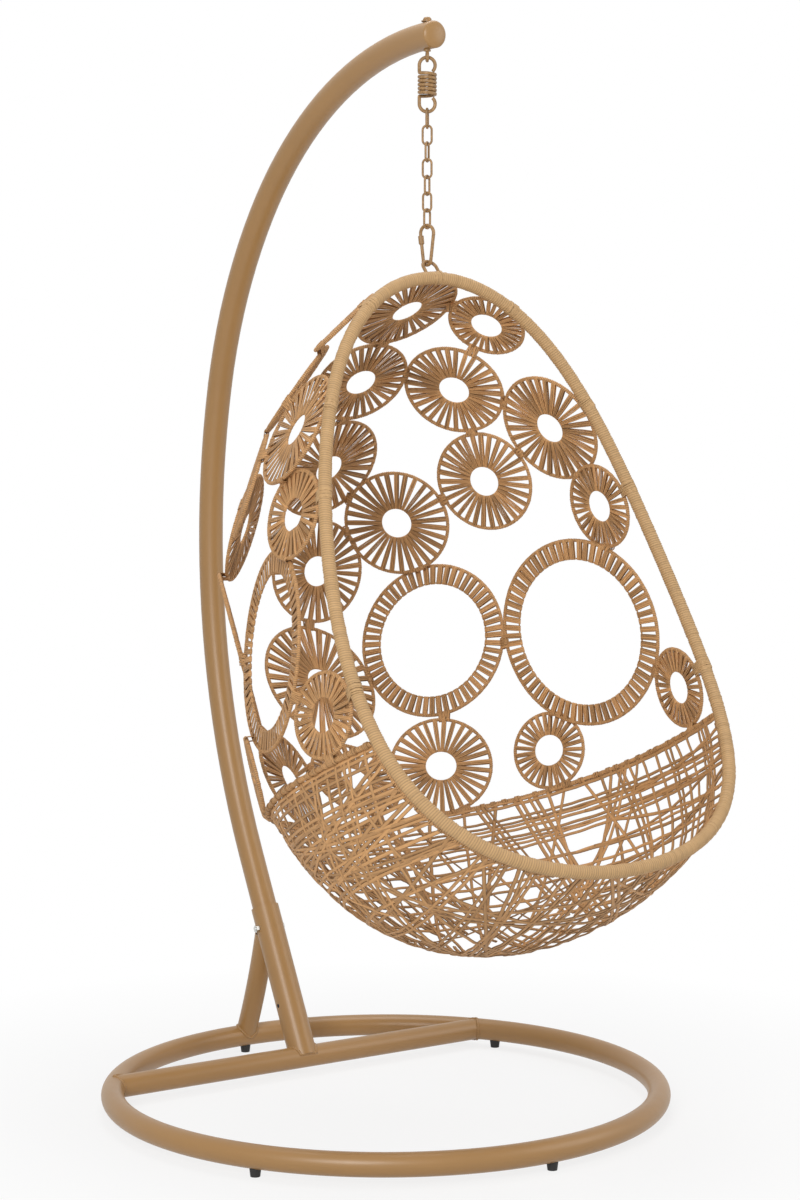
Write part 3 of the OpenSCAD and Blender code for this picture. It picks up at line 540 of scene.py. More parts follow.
def rim_y(z):
    """How far forward the rim's surface lies at a height."""
    v = (z - RIM_FOOT_Z) / (RIM_TOP_Z - RIM_FOOT_Z) * 2 - 1
    u, _, deep, middle = egg_level(RIM_FOOT_Z)
    chin = middle - math.sqrt(1 - u * u) * deep
    return (
        RIM_WAIST + ((RIM_HEAD - chin) / 2 - RIM_CURL) * v
        + ((RIM_HEAD + chin) / 2 - RIM_WAIST) * v * v + RIM_CURL * v**3
    )


def rim_point(angle):
    """A point of the rim's middle line; 0 is its top."""
    z = RIM_FOOT_Z + (RIM_TOP_Z - RIM_FOOT_Z) * (1 + math.cos(math.radians(angle))) / 2
    u, wide, deep, middle = egg_level(z)
    end = math.sqrt(max(1 - u * u, 1e-12))
    y = rim_y(z)
    q = (y - middle) / (end * deep)
    side = end * wide * math.sqrt(max(0, 1 - q * q))
    return np.array([-side if angle > 180 else side, y, z])


def rim_line(count):
    """Points of the rim's middle line, from its top all the way round."""
    return np.array([rim_point(angle) for angle in np.linspace(0, 360, count)])


def edge_height(y):
    """Height of the slanting plane that the bowl's edge lies in."""
    return FOOT_Z + EDGE_RISE + (CHAIN_Y - y) * EDGE_SLOPE


def plane_point(angle, height, low, high, rounds):
    """The egg's point at an angle that is as high as height() says, found by halving."""
    for _ in range(rounds):
        p = egg_point(angle, (low + high) / 2)
        if p[2] < height(p):
            low = p[2]
        else:
            high = p[2]
    return p


def edge_point(angle):
    """A point of the bowl's edge."""
    low, high = FOOT_Z + 0.02, FOOT_Z + EGG_HEIGHT * 0.7
    return plane_point(angle, lambda p: edge_height(p[1]), low, high, 24)


def edge_line(count):
    """Points of the bowl's edge, from side to side."""
    return np.array([edge_point(angle) for angle in np.linspace(-EDGE_TURN, EDGE_TURN, count)])


def ring_place(row):
    """Centre, outward direction and radius of a woven ring."""
    angle, share, radius, turn, tilt = row
    low = edge_point(angle)[2]
    p = egg_point(angle, low + share * (RIM_TOP_Z - low))
    outward = unit(egg_slope(p))
    yaw = math.atan2(outward[0], outward[1]) + math.radians(turn)
    pitch = math.asin(outward[2]) + math.radians(tilt)
    facing = np.array([
        math.sin(yaw) * math.cos(pitch), math.cos(yaw) * math.cos(pitch), math.sin(pitch)
    ])
    return p - outward * radius * radius / 2 / EGG_ROUND, facing, radius


def twin(place):
    """The same ring on the other side."""
    flip = np.array([-1, 1, 1])
    return place[0] * flip, place[1] * flip, place[2]


middle_places = [ring_place(row) for row in MIDDLE_RINGS]
right_places = [ring_place(row) for row in SIDE_RINGS]
left_places = [twin(place) for place in right_places]


def spokes(facing, turn):
    """Directions in a ring's plane, at angles in radians."""
    first = unit(np.cross((0, 0, 1), facing))
    return np.cos(turn)[:, None] * first + np.sin(turn)[:, None] * np.cross(facing, first)


# ---- mesh building
class Weave:
    """Gathers straws, tubes and windings in one mesh."""

    def __init__(self, name):
        self.name = name
        self.bm = bmesh.new()
        self.bm.verts.layers.float_vector.new("grain")
        # shadow holds painted shade at straw edges and winding grooves, which the straw material
        # darkens by
        self.bm.verts.layers.float.new("shadow")

    def skin(self, path, outward, closed, offsets, grain):
        """A tube round a path, from offsets across it, outward and along it.

        Grain holds what lies across, along, the tone and the painted shade of each point.
        """
        along = way_of(path, closed)
        across = unit(np.cross(along, outward))
        rings = path[:, None]
        for axis, offset in zip((across, np.cross(across, along), along), offsets):
            rings = rings + axis[:, None] * offset[..., None]
        rows, sides = rings.shape[:2]
        spans = rows if closed else rows - 1
        tube = bmesh.new()
        layer = tube.verts.layers.float_vector.new("grain")
        shadow = tube.verts.layers.float.new("shadow")
        bmesh.ops.create_grid(tube, x_segments=spans, y_segments=sides, size=1)
        rings, grain = rings.tolist(), np.stack(np.broadcast_arrays(*grain), axis=-1).tolist()
        for vert in tube.verts:
            row = round((vert.co.x + 1) / 2 * spans) % rows
            side = round((vert.co.y + 1) / 2 * sides) % sides
            vert.co = rings[row][side]
            vert[layer] = grain[row][side][:3]
            vert[shadow] = grain[row][side][3]
        bmesh.ops.remove_doubles(tube, verts=tube.verts, dist=1e-7)
        if not closed:
            bmesh.ops.holes_fill(tube, edges=[e for e in tube.edges if e.is_boundary], sides=0)
        bmesh.ops.recalc_face_normals(tube, faces=tube.faces)
        part = bpy.data.meshes.new("part")
        tube.to_mesh(part)
        tube.free()
        self.bm.from_mesh(part)
        bpy.data.meshes.remove(part)

    def straw(self, path, outward, wide, thick, tone, sides=6, closed=False):
        """A flat straw along a path; wide may change from point to point."""
        turn = np.arange(sides) * 2 * math.pi / sides
        wave = np.sign(np.cos(turn)) * np.abs(np.cos(turn)) ** 0.7
        wide = np.broadcast_to(np.asarray(wide, float), len(path))[:, None] / 2 * wave
        # the fourth part is painted shade, darkest at the straw's two edges
        grain = wide, lengths(path)[:, None], tone, np.cos(turn) ** 4
        self.skin(path, outward, closed, (wide, thick / 2 * np.sin(turn)), grain)

    def winding(self, path, outward, radius, pitch, ridge, rng, sides=10, closed=False, lean=0.5):
        """A tube of close turns of straw round a path, each with its own tone."""
        path, outward = respaced(path, outward, pitch / TURN_ROWS, closed)
        rows = np.arange(len(path))
        swell = np.array(TURN_SWELL)[rows % TURN_ROWS] * ridge
        turns = len(path) // TURN_ROWS + 2
        tones = np.clip(0.5 + TURN_TONE * rng.standard_normal(turns), *TONES)[rows // TURN_ROWS]
        uneven = rng.standard_normal(turns)[rows // TURN_ROWS] * ridge * TURN_UNEVEN
        turn = np.arange(sides) * 2 * math.pi / sides
        size = (radius + swell + uneven)[:, None]
        offsets = size * np.cos(turn), size * np.sin(turn), lean * pitch / 2 * np.sin(turn)
        rows, tones = rows[:, None], tones[:, None]
        # painted shade in the groove at the start of each turn
        painted_groove_shade = (rows % TURN_ROWS == 0) * GROOVE_SHADOW
        grain = rows * pitch / TURN_ROWS, turn * radius + tones, tones, painted_groove_shade
        self.skin(path, outward, closed, offsets, grain)

    def finished(self, material, body, slot, replaces=()):
        """The mesh as a piece of the chair, which rides on a body if one is given."""
        mesh = bpy.data.meshes.new(self.name)
        self.bm.to_mesh(mesh)
        self.bm.free()
        mesh.materials.append(material)
        mesh.polygons.foreach_set("use_smooth", [True] * len(mesh.polygons))
        piece = bpy.data.objects.new(self.name, mesh)
        bpy.context.scene.collection.objects.link(piece)
        if body:
            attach(piece, body)
        if replaces:
            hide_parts(*replaces)
        return piece


def lengths(line):
    """The distance along a line to each of its points."""
    return np.concatenate([[0], np.cumsum(np.linalg.norm(np.diff(line, axis=0), axis=1))])


def points_at(marks, length, line):
    """The points of a line at distances along it."""
    return np.stack([np.interp(marks, length, line[:, k]) for k in range(3)], axis=1)


def way_of(path, closed):
    """The direction of a path at each of its points."""
    if closed:
        return unit(np.roll(path, -1, axis=0) - np.roll(path, 1, axis=0))
    ends = np.concatenate([path[:1], path, path[-1:]])
    return unit(ends[2:] - ends[:-2])


def respaced(path, outward, step, closed):
    """A path with its points a step apart in whole turns, and its outward directions."""
    path, outward = np.asarray(path, float), np.asarray(outward, float)
    if closed:
        path = np.concatenate([path, path[:1]])
        outward = np.concatenate([outward, outward[:1]])
    length = lengths(path)
    count = max(TURN_ROWS, int(round(length[-1] / step / TURN_ROWS)) * TURN_ROWS)
    marks = np.linspace(0, length[-1], count + (0 if closed else 1), endpoint=not closed)
    return points_at(marks, length, path), unit(points_at(marks, length, outward))


def circle_path(centre, facing, radius, count=96):
    """Points and outward directions of a circle, which face away from its middle."""
    out = spokes(facing, np.arange(count) * 2 * math.pi / count)
    return centre + radius * out, out


def cope_line(node, off, side, touch=0.0006, step=8):
    """The outer line of a shaped tube end that touches the surface which off measures from."""
    spots = np.array([vertex.co for vertex in nodes[node].data.vertices])
    middle = spots.mean(axis=0)
    spots = spots[(np.abs(off(spots)) < touch) & ((spots - middle) @ side >= 0)]
    centre = (spots.min(axis=0) + spots.max(axis=0)) / 2
    across, up = np.linalg.svd(spots - centre, full_matrices=False)[2][:2]
    flat = np.stack([(spots - centre) @ across, (spots - centre) @ up], axis=1)
    turn = np.degrees(np.arctan2(flat[:, 1], flat[:, 0]))
    reach = np.linalg.norm(flat, axis=1)
    line = []
    for low in range(-180, 180, step):
        there = np.flatnonzero((turn >= low) & (turn < low + step))
        if len(there):
            line.append(spots[there[np.argmax(reach[there])]])
    line = np.array(line)
    return line, unit(line - centre)


# ---- rings
def hole_of(radius):
    """The radius of the hole in a ring."""
    return radius - BAND_WIDTH if radius > BIG_FROM else SMALL_HOLE


def strip_way(hub, hoop):
    """A straw's way round hub wire and hoop: distance out, height, share of the way out."""
    half = STRAW_THICK / 2

    def bend(middle, core, share, angles):
        return [(middle + (core + half) * math.cos(turn), (core + half) * math.sin(turn), share)
                for turn in map(math.radians, angles)]

    front = bend(hub, HUB_CORE, 0, (150, 110))
    front += [
        (hub + (hoop - hub) * share, HUB_CORE + (HOOP_CORE - HUB_CORE) * share + half, share)
        for share in (0.25, 0.6)
    ]
    front += bend(hoop, HOOP_CORE, 1, (80, 35))
    back = [(out_by, -height, share) for out_by, height, share in reversed(front)]
    return np.array(front + back).T


def ring_strips(weave, place, settings, rng):
    """Flat straws that run round hub wire and hoop in strips, side by side."""
    centre, facing, radius = place
    hub, hoop = hole_of(radius) + HUB_SET, radius - HOOP_WIRE / 2
    if radius > BIG_FROM:
        strips = round(settings.band_strips * radius / BAND_RADIUS)
        fills = BAND_HUB_FILL, settings.band_fill
    else:
        strips = round(settings.strips * (0.8 + 2 * radius))
        fills = HUB_FILL, settings.fill
    spacing = 2 * math.pi / strips
    out_by, height, share = strip_way(hub, hoop)
    near, far = (at * spacing * fill / STRAWS for at, fill in zip((hub, hoop), fills))
    widths = (near + (far - near) * share) * STRAW_OVERLAP
    level = np.where(share <= 0, out_by - hub, np.where(share >= 1, out_by - hoop, 0))
    for strip in range(strips):
        base = (strip + rng.uniform(-STRIP_PLAY, STRIP_PLAY)) * spacing
        strip_tone = STRAW_TONE + TONE_SPREAD * rng.standard_normal()
        skew = rng.uniform(-STRIP_SKEW, STRIP_SKEW) * spacing / STRAWS
        for straw in range(STRAWS):
            offset = straw - (STRAWS - 1) / 2
            fan_hub, fan_hoop = offset * near / hub, offset * far / hoop
            angle = base + fan_hub + (fan_hoop - fan_hub) * share
            angle = angle + rng.uniform(-STRAW_PLAY, STRAW_PLAY) / hoop * share
            angle = angle + np.where(height < 0, skew, 0)
            out = spokes(facing, angle)
            lift = STRAW_STEP * (straw % 2) + rng.uniform(0, STRAW_LIFT)
            raised = height * (1 + lift / STRAW_HEIGHT)
            path = centre + out_by[:, None] * out + raised[:, None] * facing
            away = level[:, None] * out + height[:, None] * facing
            tone = strip_tone + TONE_SPREAD * rng.standard_normal()
            tone = float(np.clip(tone - DARKER * (rng.random() < DARK_SHARE), *TONES))
            weave.straw(path, unit(away), widths, STRAW_THICK, tone, closed=True)


def woven_ring(name, node, place, settings, material, rng):
    """One ring: strips of straw, and the windings of hoop and hub under them."""
    weave = Weave(name)
    ring_strips(weave, place, settings, rng)
    centre, facing, radius = place
    hoop = circle_path(centre, facing, radius - HOOP_WIRE / 2)
    weave.winding(*hoop, 0.0033, TURN_PITCH, 0.0004, rng, sides=8, closed=True, lean=1.0)
    hub = circle_path(centre, facing, hole_of(radius) + HUB_SET)
    weave.winding(*hub, HUB_CORE, 0.0034, 0.0002, rng, sides=6, closed=True)
    return weave.finished(material, "basket", "wicker", (node,))


# ---- ties
def near_hoop(p, place):
    """The point of a ring's hoop nearest to p."""
    centre, facing, radius = place
    flat = (p - centre) - facing * ((p - centre) @ facing)
    return centre + unit(flat) * (radius - HOOP_WIRE / 2)


def near_line(p, line):
    """The point of a line of points nearest to p."""
    first, last = line[:-1], line[1:]
    step = last - first
    share = np.clip(((p - first) * step).sum(1) / (step * step).sum(1), 0, 1)
    near = first + share[:, None] * step
    return near[np.argmin(np.linalg.norm(near - p, axis=1))]


def tie(weave, a, b, reach_a, reach_b, outward, rng):
    """Loops of straw round two neighbours, side by side."""
    gap = b - a
    way = gap / max(np.linalg.norm(gap), 1e-9)
    outward = unit(outward - way * (outward @ way))
    side = np.cross(way, outward)
    for loop in range(TIE_LOOPS):
        shift = side * (loop - (TIE_LOOPS - 1) / 2) * LOOP_SPACING
        lean = side * rng.uniform(-TIE_LEAN, TIE_LEAN)
        path = np.array([
            end + shift + push + reach * (math.cos(turn) * way + math.sin(turn) * outward)
            for end, reach, turns, push in (
                (b, reach_b, (75, 25, -25, -75), lean), (a, reach_a, (-105, -155, 155, 105), -lean),
            )
            for turn in map(math.radians, turns)
        ])
        middle = (a + b) / 2 + shift
        tone = float(np.clip(0.4 + 0.16 * rng.standard_normal(), 0.02, 0.9))
        weave.straw(path, unit(path - middle), LOOP_WIDTH, 0.0012, tone, closed=True)


def tie_hoops(weave, a, b, rng):
    """A tie where two hoops come near each other."""
    p = (a[0] + b[0]) / 2
    for _ in range(NEAR_ROUNDS):
        p = near_hoop(near_hoop(p, a), b)
    q = near_hoop(p, a)
    if np.linalg.norm(p - q) - HOOP_WIRE < TIE_REACH:
        tie(weave, q, p, TIE_TUBE, TIE_TUBE, a[1] + b[1], rng)


def tie_line(weave, a, line, radius, rng):
    """A tie where a hoop comes near the rim or the bowl's edge."""
    p = near_line(a[0], line)
    for _ in range(NEAR_ROUNDS):
        p = near_line(near_hoop(p, a), line)
    q = near_hoop(p, a)
    if np.linalg.norm(p - q) - HOOP_WIRE / 2 - radius < TIE_REACH:
        tie(weave, q, p, TIE_TUBE, radius + 0.0008, a[1], rng)


# ---- bowl
def in_bowl(p):
    """Whether a point of the egg belongs to the bowl."""
    return p[2] < edge_height(p[1]) and p[1] > rim_y(p[2])


def trace(p, way, reach=TRACE_REACH):
    """A straight line on the egg from p, as long as its reach and the bowl allow."""
    p, normal = onto_egg(np.asarray(p, float))
    points, normals = [p], [normal]
    for _ in range(round(reach / TRACE_STEP)):
        way = unit(way - normal * (way @ normal))
        q, normal = onto_egg(p + way * TRACE_STEP)
        normals.append(normal)
        if not in_bowl(q):
            low, high = p, q
            for _ in range(8):
                middle = (low + high) / 2
                low, high = (middle, high) if in_bowl(middle) else (low, middle)
            points.append(low)
            break
        points.append(q)
        p = q
    return np.array(points), np.array(normals)


def both_ways(p, way):
    """The same line in both directions from p."""
    lines = zip(trace(p, -way), trace(p, way))
    return [np.concatenate([behind[::-1], ahead[1:]]) for behind, ahead in lines]


def level_run(drop, roll, pitch):
    """A line round the bowl in a plane under the edge's own, turned a little out of it."""
    def height(p):
        return edge_height(p[1]) - drop + roll * p[0] + pitch * (p[1] - CHAIN_Y)

    points = [
        plane_point(angle, height, FOOT_Z, FOOT_Z + EGG_HEIGHT * 0.6, 18)
        for angle in np.arange(-180, 180, LEVEL_STEP)
    ]
    inside = [in_bowl(p) for p in points]
    if all(inside):
        points.append(points[0])
    else:
        count, middle = len(points), len(points) // 2
        first = max((k for k in range(middle) if not inside[k]), default=-1) + 1
        last = min((k for k in range(middle, count) if not inside[k]), default=count)
        points = points[first:last]
    return np.array(points), np.array([unit(egg_slope(p)) for p in points])


def marks_on(line, gap, rng, play=0.3):
    """Places along a line a gap apart, give or take some play, and the line's way there."""
    length = lengths(line)
    marks = np.arange(gap / 2, length[-1] - gap / 4, gap)
    marks = marks + rng.uniform(-play, play, len(marks)) * gap
    nearest = np.clip(np.searchsorted(length, marks), 1, len(line) - 1)
    return points_at(marks, length, line), unit(line[nearest] - line[nearest - 1])


def bowl_borders():
    """The bowl's edge, and the rim from where the edge meets it."""
    chin = [rim_point(angle) for angle in np.linspace(100, 260, 260)]
    return edge_line(200), np.array([p for p in chin if p[2] < edge_height(p[1])])


def bowl_lines(settings, rng):
    """The bowl's canes: runs along the edge, and steep ones from edge and rim."""
    lines = []
    drop = settings.level_gap * 0.8
    while drop < LEVEL_DEPTH:
        tilts = rng.uniform(-1, 1, 2) * (LEVEL_TILT + LEVEL_TILT_GROWTH * drop)
        level = level_run(drop, *np.tan(np.radians(tilts)))
        if len(level[0]) > LEVEL_LEAST:
            lines.append(level)
        drop += settings.level_gap * rng.uniform(0.75, 1.3) * (1 + 0.2 * drop / LEVEL_DEPTH)
    for border, mean in zip(bowl_borders(), STEEP_TURNS):
        for k, (p, along) in enumerate(zip(*marks_on(border, settings.cane_gap, rng))):
            p, normal = onto_egg(p)
            down = np.cross(along, normal)
            down = down if in_bowl(onto_egg(p + down * 0.01)[0]) else -down
            if rng.random() < SLANT_SHARE:
                turn = math.radians((1, -1)[k % 2] * rng.uniform(*SLANTS))
            else:
                turn = math.radians(rng.normal(mean, STEEP_SPREAD))
            reach = TRACE_REACH if rng.random() < LONG_SHARE else rng.uniform(*SHORT_REACH)
            way = math.cos(turn) * down + math.sin(turn) * along
            lines.append(trace(p + down * 0.003, way, reach))
    return lines


def add_cane(weave, points, normals, width, rng, depth=CANE_DEPTH, tone=None):
    """A cane that dips in and out as it passes its neighbours."""
    if len(points) < 4:
        return
    waves = lengths(points) / rng.uniform(*CANE_WAVELENGTH)
    wave = np.sin(waves * 2 * math.pi + rng.uniform(0, 6.28))
    path = points + normals * (CANE_WAVE * wave - depth)[:, None]
    if tone is None:
        tone = float(np.clip(0.35 + 0.17 * rng.standard_normal(), *TONES))
    weave.straw(path, normals, width * rng.uniform(0.85, 1.12), width / 2, tone)


def cuffs(weave, line, radius, gap, rng):
    """Short bindings round a wire, where canes turn over it."""
    turn = np.arange(10) * math.pi / 5
    for p, along in zip(*marks_on(line, gap, rng)):
        out = spokes(along, turn)
        tone = rng.uniform(0.05, 0.5)
        for loop in range(CUFF_LOOPS):
            middle = p + along * (loop - (CUFF_LOOPS - 1) / 2) * LOOP_SPACING
            lean = along * rng.uniform(-CUFF_LEAN, CUFF_LEAN)
            path = middle + radius * out + np.cos(turn)[:, None] * lean
            weave.straw(path, out, LOOP_WIDTH, 0.0014, tone, closed=True)


# ---- operators
class Maker:
    """What the operators share."""

    bl_options = {"REGISTER", "UNDO"}

    @staticmethod
    def repaint(material, *names):
        """Gives CAD nodes a material."""
        for name in names:
            nodes[name].data.materials.clear()
            nodes[name].data.materials.append(material)


class CHAIR_OT_stand(Maker, bpy.types.Operator):
    """Coats the stand and adds its weld beads"""

    bl_idname = "egg_chair.stand"
    bl_label = "Stand"

    def execute(self, context):
        settings = context.scene.egg_chair_stand
        coat = powder_coat("powder_coat", settings.coat)
        self.repaint(coat, "base_ring", "crossbar", "socket", "rear_brace", "pole", "pole_cap")
        self.repaint(moulded_black("moulded_black"), "feet", "set_screw")
        self.repaint(zinc_plate("zinc_plate"), "socket_bolt", "socket_nut")
        self.repaint(
            rubbed_coat("rubbed_coat", settings.chain), "eye_bolt", "eye_nut", "spring_top_hook",
            "spring_lower_hook", *("link_%d" % k for k in range(1, 8)), "carabiner",
            "gate_pin", "carabiner_gate", "lock_sleeve", "rim_loop",
        )
        self.weld_beads(coat, settings.bead)
        return {"FINISHED"}

    @staticmethod
    def weld_beads(coat, size):
        """Beads along the lines where a tube's shaped end meets the tube that carries it."""
        lean = math.radians(POLE_LEAN)
        foot, rise = np.array((0, BAR_Y, BASE_Z)), np.array((0, math.sin(lean), math.cos(lean)))

        def off_ring(p):
            level = np.hypot(p[:, 0], p[:, 1] - BASE_Y) - BASE_RADIUS
            return np.hypot(level, p[:, 2] - BASE_Z) - BASE_TUBE

        def off_bar(p):
            return np.hypot(p[:, 1] - BAR_Y, p[:, 2] - BASE_Z) - BASE_TUBE

        def off_socket(p):
            return np.linalg.norm(np.cross(p - foot, rise), axis=1) - SOCKET_TUBE

        rng = np.random.default_rng(seed=3)
        weave = Weave("weld_beads")
        for node, off, side in (
            ("crossbar", off_ring, (1, 0, 0)), ("crossbar", off_ring, (-1, 0, 0)),
            ("rear_brace", off_ring, (0, 1, 0)), ("rear_brace", off_socket, (0, 0, 1)),
            ("socket", off_bar, (0, 0, 0)),
        ):
            line = cope_line(node, off, np.array(side))
            weave.winding(*line, size, TURN_PITCH, size * 0.12, rng, sides=8, closed=True)
        weave.finished(coat, "stand", "tan_paint")


class CHAIR_OT_spring(Maker, bpy.types.Operator):
    """Winds the coil of the spring"""

    bl_idname = "egg_chair.spring"
    bl_label = "Spring"

    def execute(self, context):
        low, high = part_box("spring")
        top = high.z + SPRING_PLAY - SPRING_BEND
        foot = low.z - SPRING_PLAY + SPRING_BEND
        bend_turn = SPRING_BEND / SPRING_RADIUS
        whole = 2 * math.pi * SPRING_TURNS
        bend = [(0, SPRING_BEND), (0, SPRING_BEND - SPRING_LEAD)]
        bend += [(bend_turn * (1 - math.cos(a)), SPRING_BEND * (1 - math.sin(a)))
                 for a in np.radians((25, 45, 65))]
        places = [(turn, top + rise) for turn, rise in bend]
        places += [(bend_turn + (whole - 2 * bend_turn) * s, top - (top - foot) * s)
                   for s in np.linspace(0, 1, 24 * SPRING_TURNS)]
        places += [(whole - turn, foot - rise) for turn, rise in reversed(bend)]
        yaw = math.radians(HOOK_YAW) + math.pi
        turn, z = np.array(places).T
        out = np.stack([np.cos(yaw + turn), np.sin(yaw + turn), 0 * z], axis=1)
        path = SPRING_RADIUS * out + np.stack([0 * z, 0 * z + CHAIN_Y, z], axis=1)
        weave = Weave("spring_coil")
        weave.straw(path, out, SPRING_WIRE, SPRING_WIRE, 0.5, sides=14)
        piece = weave.finished(bpy.data.materials["rubbed_coat"], None, "chain_paint", ("spring",))
        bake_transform(piece)
        return {"FINISHED"}


class CHAIR_OT_rings(Maker, bpy.types.Operator):
    """Weaves the rings of the egg's back and sides"""

    bl_idname = "egg_chair.rings"
    bl_label = "Woven rings"

    def execute(self, context):
        settings = context.scene.egg_chair_wicker
        material = wicker_straw("wicker_straw", settings.straw)
        for mark, places in (("c", middle_places), ("r", right_places), ("l", left_places)):
            for k, place in enumerate(places, 1):
                rng = np.random.default_rng((settings.seed, ord(mark), k))
                name = "%s%d" % (mark, k)
                woven_ring("woven_" + name, "ring_" + name, place, settings, material, rng)
        return {"FINISHED"}


class CHAIR_OT_ties(Maker, bpy.types.Operator):
    """Ties the hoops to each other, to the rim and to the bowl's edge"""

    bl_idname = "egg_chair.ties"
    bl_label = "Ties"

    def execute(self, context):
        settings = context.scene.egg_chair_wicker
        rng = np.random.default_rng(settings.seed + 1)
        weave, on_rim = Weave("hoop_ties"), Weave("rim_ties")
        rim, edge = rim_line(241), edge_line(161)
        for a, b in zip(middle_places, middle_places[1:]):
            tie_hoops(weave, a, b, rng)
        for side in (right_places, left_places):
            for a, b in CROSS_PAIRS:
                tie_hoops(weave, middle_places[a], side[b], rng)
            for a, b in SIDE_PAIRS:
                tie_hoops(weave, side[a], side[b], rng)
            for k in RIM_SIDE:
                tie_line(on_rim, side[k], rim, RIM_TUBE, rng)
            for k in EDGE_SIDE:
                tie_line(weave, side[k], edge, EDGE_TUBE, rng)
        tie_line(on_rim, middle_places[0], rim, RIM_TUBE, rng)
        tie_line(weave, middle_places[5], edge, EDGE_TUBE, rng)
        weave.finished(bpy.data.materials["wicker_straw"], "basket", "wicker", ("ring_ties",))
        on_rim.finished(bpy.data.materials["rim_binding"], "basket", "cane_wrap")
        return {"FINISHED"}


class CHAIR_OT_rim(Maker, bpy.types.Operator):
    """Winds the rim and the bowl's edge"""

    bl_idname = "egg_chair.rim"
    bl_label = "Rim and edge"

    def execute(self, context):
        settings = context.scene.egg_chair_wicker
        rng = np.random.default_rng(settings.seed + 2)
        binding = wicker_straw("rim_binding", settings.binding, contrast=0.5)
        path = rim_line(481)[:-1]
        middle = np.array((0, RIM_WAIST, (RIM_TOP_Z + RIM_FOOT_Z) / 2))
        weave = Weave("rim_winding")
        weave.winding(path, unit(path - middle), RIM_TUBE - 0.0003, settings.pitch, 0.0006, rng,
                      sides=14, closed=True)
        weave.finished(binding, "basket", "cane_wrap", ("rim",))
        path = edge_line(241)
        weave = Weave("edge_winding")
        up = np.tile((0, 0, 1), (len(path), 1))
        weave.winding(path, up, EDGE_TUBE - 0.0004, TURN_PITCH, 0.0005, rng, lean=1.2)
        cuffs(weave, path, EDGE_TUBE + 0.0008, 0.026, rng)
        weave.finished(bpy.data.materials["wicker_straw"], "basket", "wicker", ("edge_wire",))
        return {"FINISHED"}


class CHAIR_OT_bowl(Maker, bpy.types.Operator):
    """Weaves the bowl"""

    bl_idname = "egg_chair.bowl"
    bl_label = "Bowl"

    def execute(self, context):
        settings = context.scene.egg_chair_wicker
        rng = np.random.default_rng(settings.seed + 3)
        weave = Weave("bowl_canes")
        for points, normals in bowl_lines(settings, rng):
            add_cane(weave, points, normals, settings.cane, rng)
            if rng.random() < PAIR_SHARE:
                shift = np.cross(way_of(points, False), normals) * rng.uniform(*PAIR_GAP)
                add_cane(weave, points + shift, normals, settings.cane, rng)
        for side, turn in UNDER_CANES:
            start = onto_egg(np.array((side * HALF_WIDTH, *UNDER_START)))[0]
            way = (math.sin(math.radians(turn)), -math.cos(math.radians(turn)), 0)
            line = both_ways(start, np.array(way))
            add_cane(weave, *line, UNDER_WIDTH, rng, UNDER_DEPTH, UNDER_TONE)
        weave.finished(bpy.data.materials["wicker_straw"], "basket", "weave", ("bowl",))
        self.selvage(rng)
        return {"FINISHED"}

    @staticmethod
    def selvage(rng):
        """A wound wire behind the rim's lower half, which the canes turn over."""
        line = bowl_borders()[1]
        path, normals = [], []
        for p, along in zip(line, way_of(line, False)):
            normal = unit(egg_slope(p))
            inward = np.cross(along, normal)
            inward = inward if inward[1] > 0 else -inward
            q, normal = onto_egg(p + inward * (RIM_TUBE + SELVAGE_TUBE))
            path.append(q - normal * 0.002)
            normals.append(normal)
        weave = Weave("rim_selvage")
        weave.winding(path, normals, SELVAGE_TUBE, TURN_PITCH, 0.0004, rng, sides=8, lean=1.0)
        cuffs(weave, np.array(path), SELVAGE_TUBE + 0.0012, 0.024, rng)
        weave.finished(bpy.data.materials["wicker_straw"], "basket", "wicker")


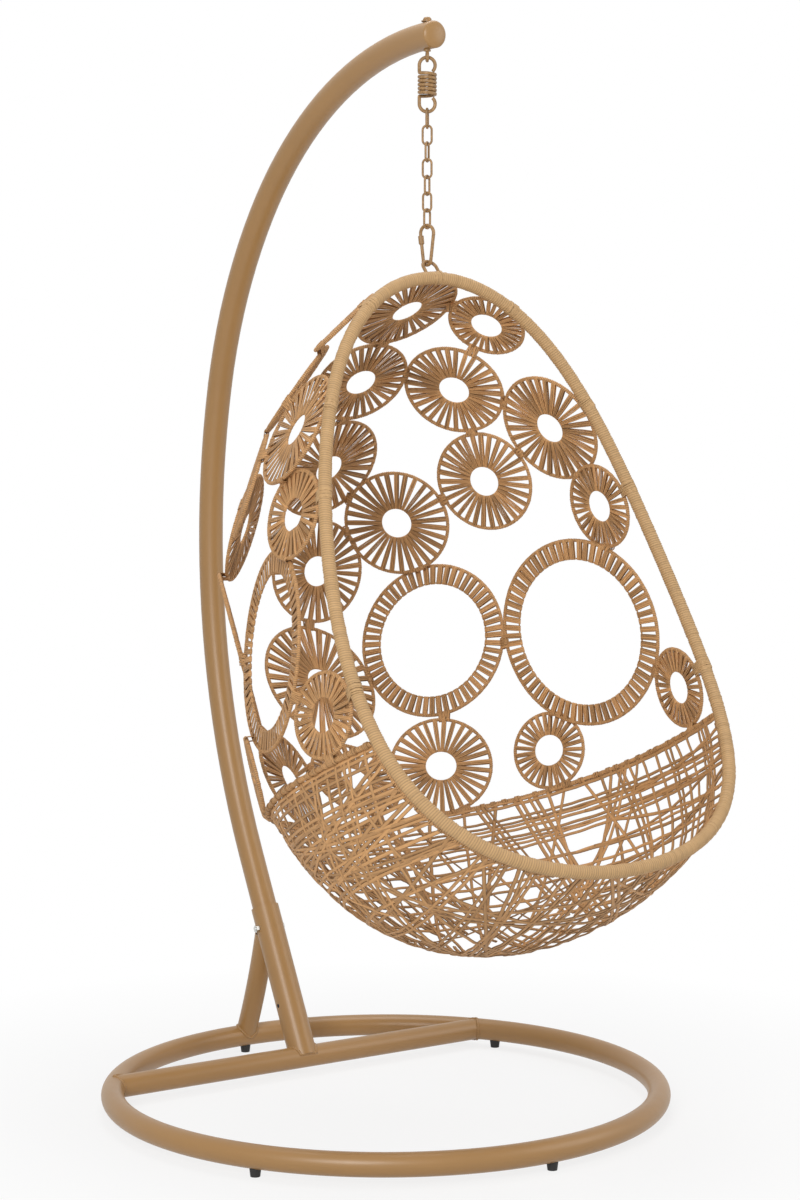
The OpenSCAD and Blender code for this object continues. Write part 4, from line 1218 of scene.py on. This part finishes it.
class CHAIR_OT_stage(Maker, bpy.types.Operator):
    """Sets up floor, light and camera"""

    bl_idname = "egg_chair.stage"
    bl_label = "Stage"

    def execute(self, context):
        scene = context.scene
        settings = scene.egg_chair_stage
        scene.view_settings.view_transform = "Standard"
        self.floor(settings)
        self.sky(scene, settings)
        for name, (place, target, size, share) in LAMPS.items():
            self.lamp(name, place, target, size, settings.key * share)
        data = bpy.data.cameras.new("camera")
        data.lens, data.sensor_width = 80.17, 36
        camera = bpy.data.objects.new("camera", data)
        camera.location = CAMERA_PLACE
        camera.rotation_euler = (math.radians(90 - CAMERA_DIP), 0, math.radians(-CAMERA_TURN))
        scene.collection.objects.link(camera)
        scene.camera = camera
        return {"FINISHED"}

    @staticmethod
    def floor(settings):
        """A pale floor that is white to the camera but keeps the shadows."""
        bm = bmesh.new()
        bmesh.ops.create_grid(bm, x_segments=8, y_segments=8, size=14)
        mesh = bpy.data.meshes.new("floor")
        bm.to_mesh(mesh)
        bm.free()
        finish = Finish("floor_paper")
        point = finish.object_point()
        grit = finish.noise(point, scale=30, detail=3)
        paper = finish.shader(finish.blend(grit, shade(settings.floor, 0.99), settings.floor), 0.9)
        away = finish.node("VectorMath", {"operation": "LENGTH"}, {0: point}, output="Value")
        far = finish.node("MapRange", None, {
            "Value": away, "From Min": 0.6, "From Max": 1.3, "To Min": settings.glow,
        })
        white = finish.node("Emission")
        finish.node("OutputMaterial", None, {
            "Surface": finish.node("MixShader", None, {0: far * finish.seen(), 1: paper, 2: white}),
        })
        mesh.materials.append(finish.material)
        floor = bpy.data.objects.new("floor", mesh)
        bpy.context.scene.collection.objects.link(floor)

    @staticmethod
    def sky(scene, settings):
        """Even light from all round, and white where the camera looks past the chair."""
        world = bpy.data.worlds.new("studio")
        studio = Finish("studio", world)
        even = studio.node("Background", None, {"Color": (1, 1, 1, 1), "Strength": settings.sky})
        white = studio.node("Background", None, {"Color": (1, 1, 1, 1)})
        both = studio.node("MixShader", None, {0: studio.seen(), 1: even, 2: white})
        studio.node("OutputWorld", None, {"Surface": both})
        scene.world = world

    @staticmethod
    def lamp(name, place, target, size, power):
        """A large soft lamp that looks at a point."""
        data = bpy.data.lights.new(name, "AREA")
        data.shape, data.size, data.energy = "DISK", size, power
        lamp = bpy.data.objects.new(name, data)
        lamp.location = place
        lamp.rotation_euler = (Vector(target) - Vector(place)).to_track_quat("-Z", "Y").to_euler()
        bpy.context.scene.collection.objects.link(lamp)


class CHAIR_PT_panel(bpy.types.Panel):
    """Settings and steps of the chair"""

    bl_label = "Egg chair"
    bl_idname = "CHAIR_PT_panel"
    bl_space_type = "VIEW_3D"
    bl_region_type = "UI"
    bl_category = "Egg chair"

    def draw(self, context):
        for name, group in GROUPS:
            for setting in group.__annotations__:
                self.layout.prop(getattr(context.scene, name), setting)
        for operator in OPERATORS:
            self.layout.operator(operator.bl_idname)


GROUPS = (
    ("egg_chair_stand", CHAIR_PG_stand),
    ("egg_chair_wicker", CHAIR_PG_wicker),
    ("egg_chair_stage", CHAIR_PG_stage),
)
OPERATORS = (
    CHAIR_OT_stage, CHAIR_OT_stand, CHAIR_OT_spring, CHAIR_OT_rings, CHAIR_OT_rim,
    CHAIR_OT_ties, CHAIR_OT_bowl,
)


def register():
    for name, group in GROUPS:
        bpy.utils.register_class(group)
        setattr(bpy.types.Scene, name, bpy.props.PointerProperty(type=group))
    for item in (*OPERATORS, CHAIR_PT_panel):
        bpy.utils.register_class(item)


def unregister():
    for item in reversed((*OPERATORS, CHAIR_PT_panel)):
        bpy.utils.unregister_class(item)
    for name, group in reversed(GROUPS):
        delattr(bpy.types.Scene, name)
        bpy.utils.unregister_class(group)


def main():
    """Makes the stage and every piece."""
    register()
    for operator in OPERATORS:
        group, name = operator.bl_idname.split(".")
        getattr(getattr(bpy.ops, group), name)()


if __name__ == "__main__":
    main()
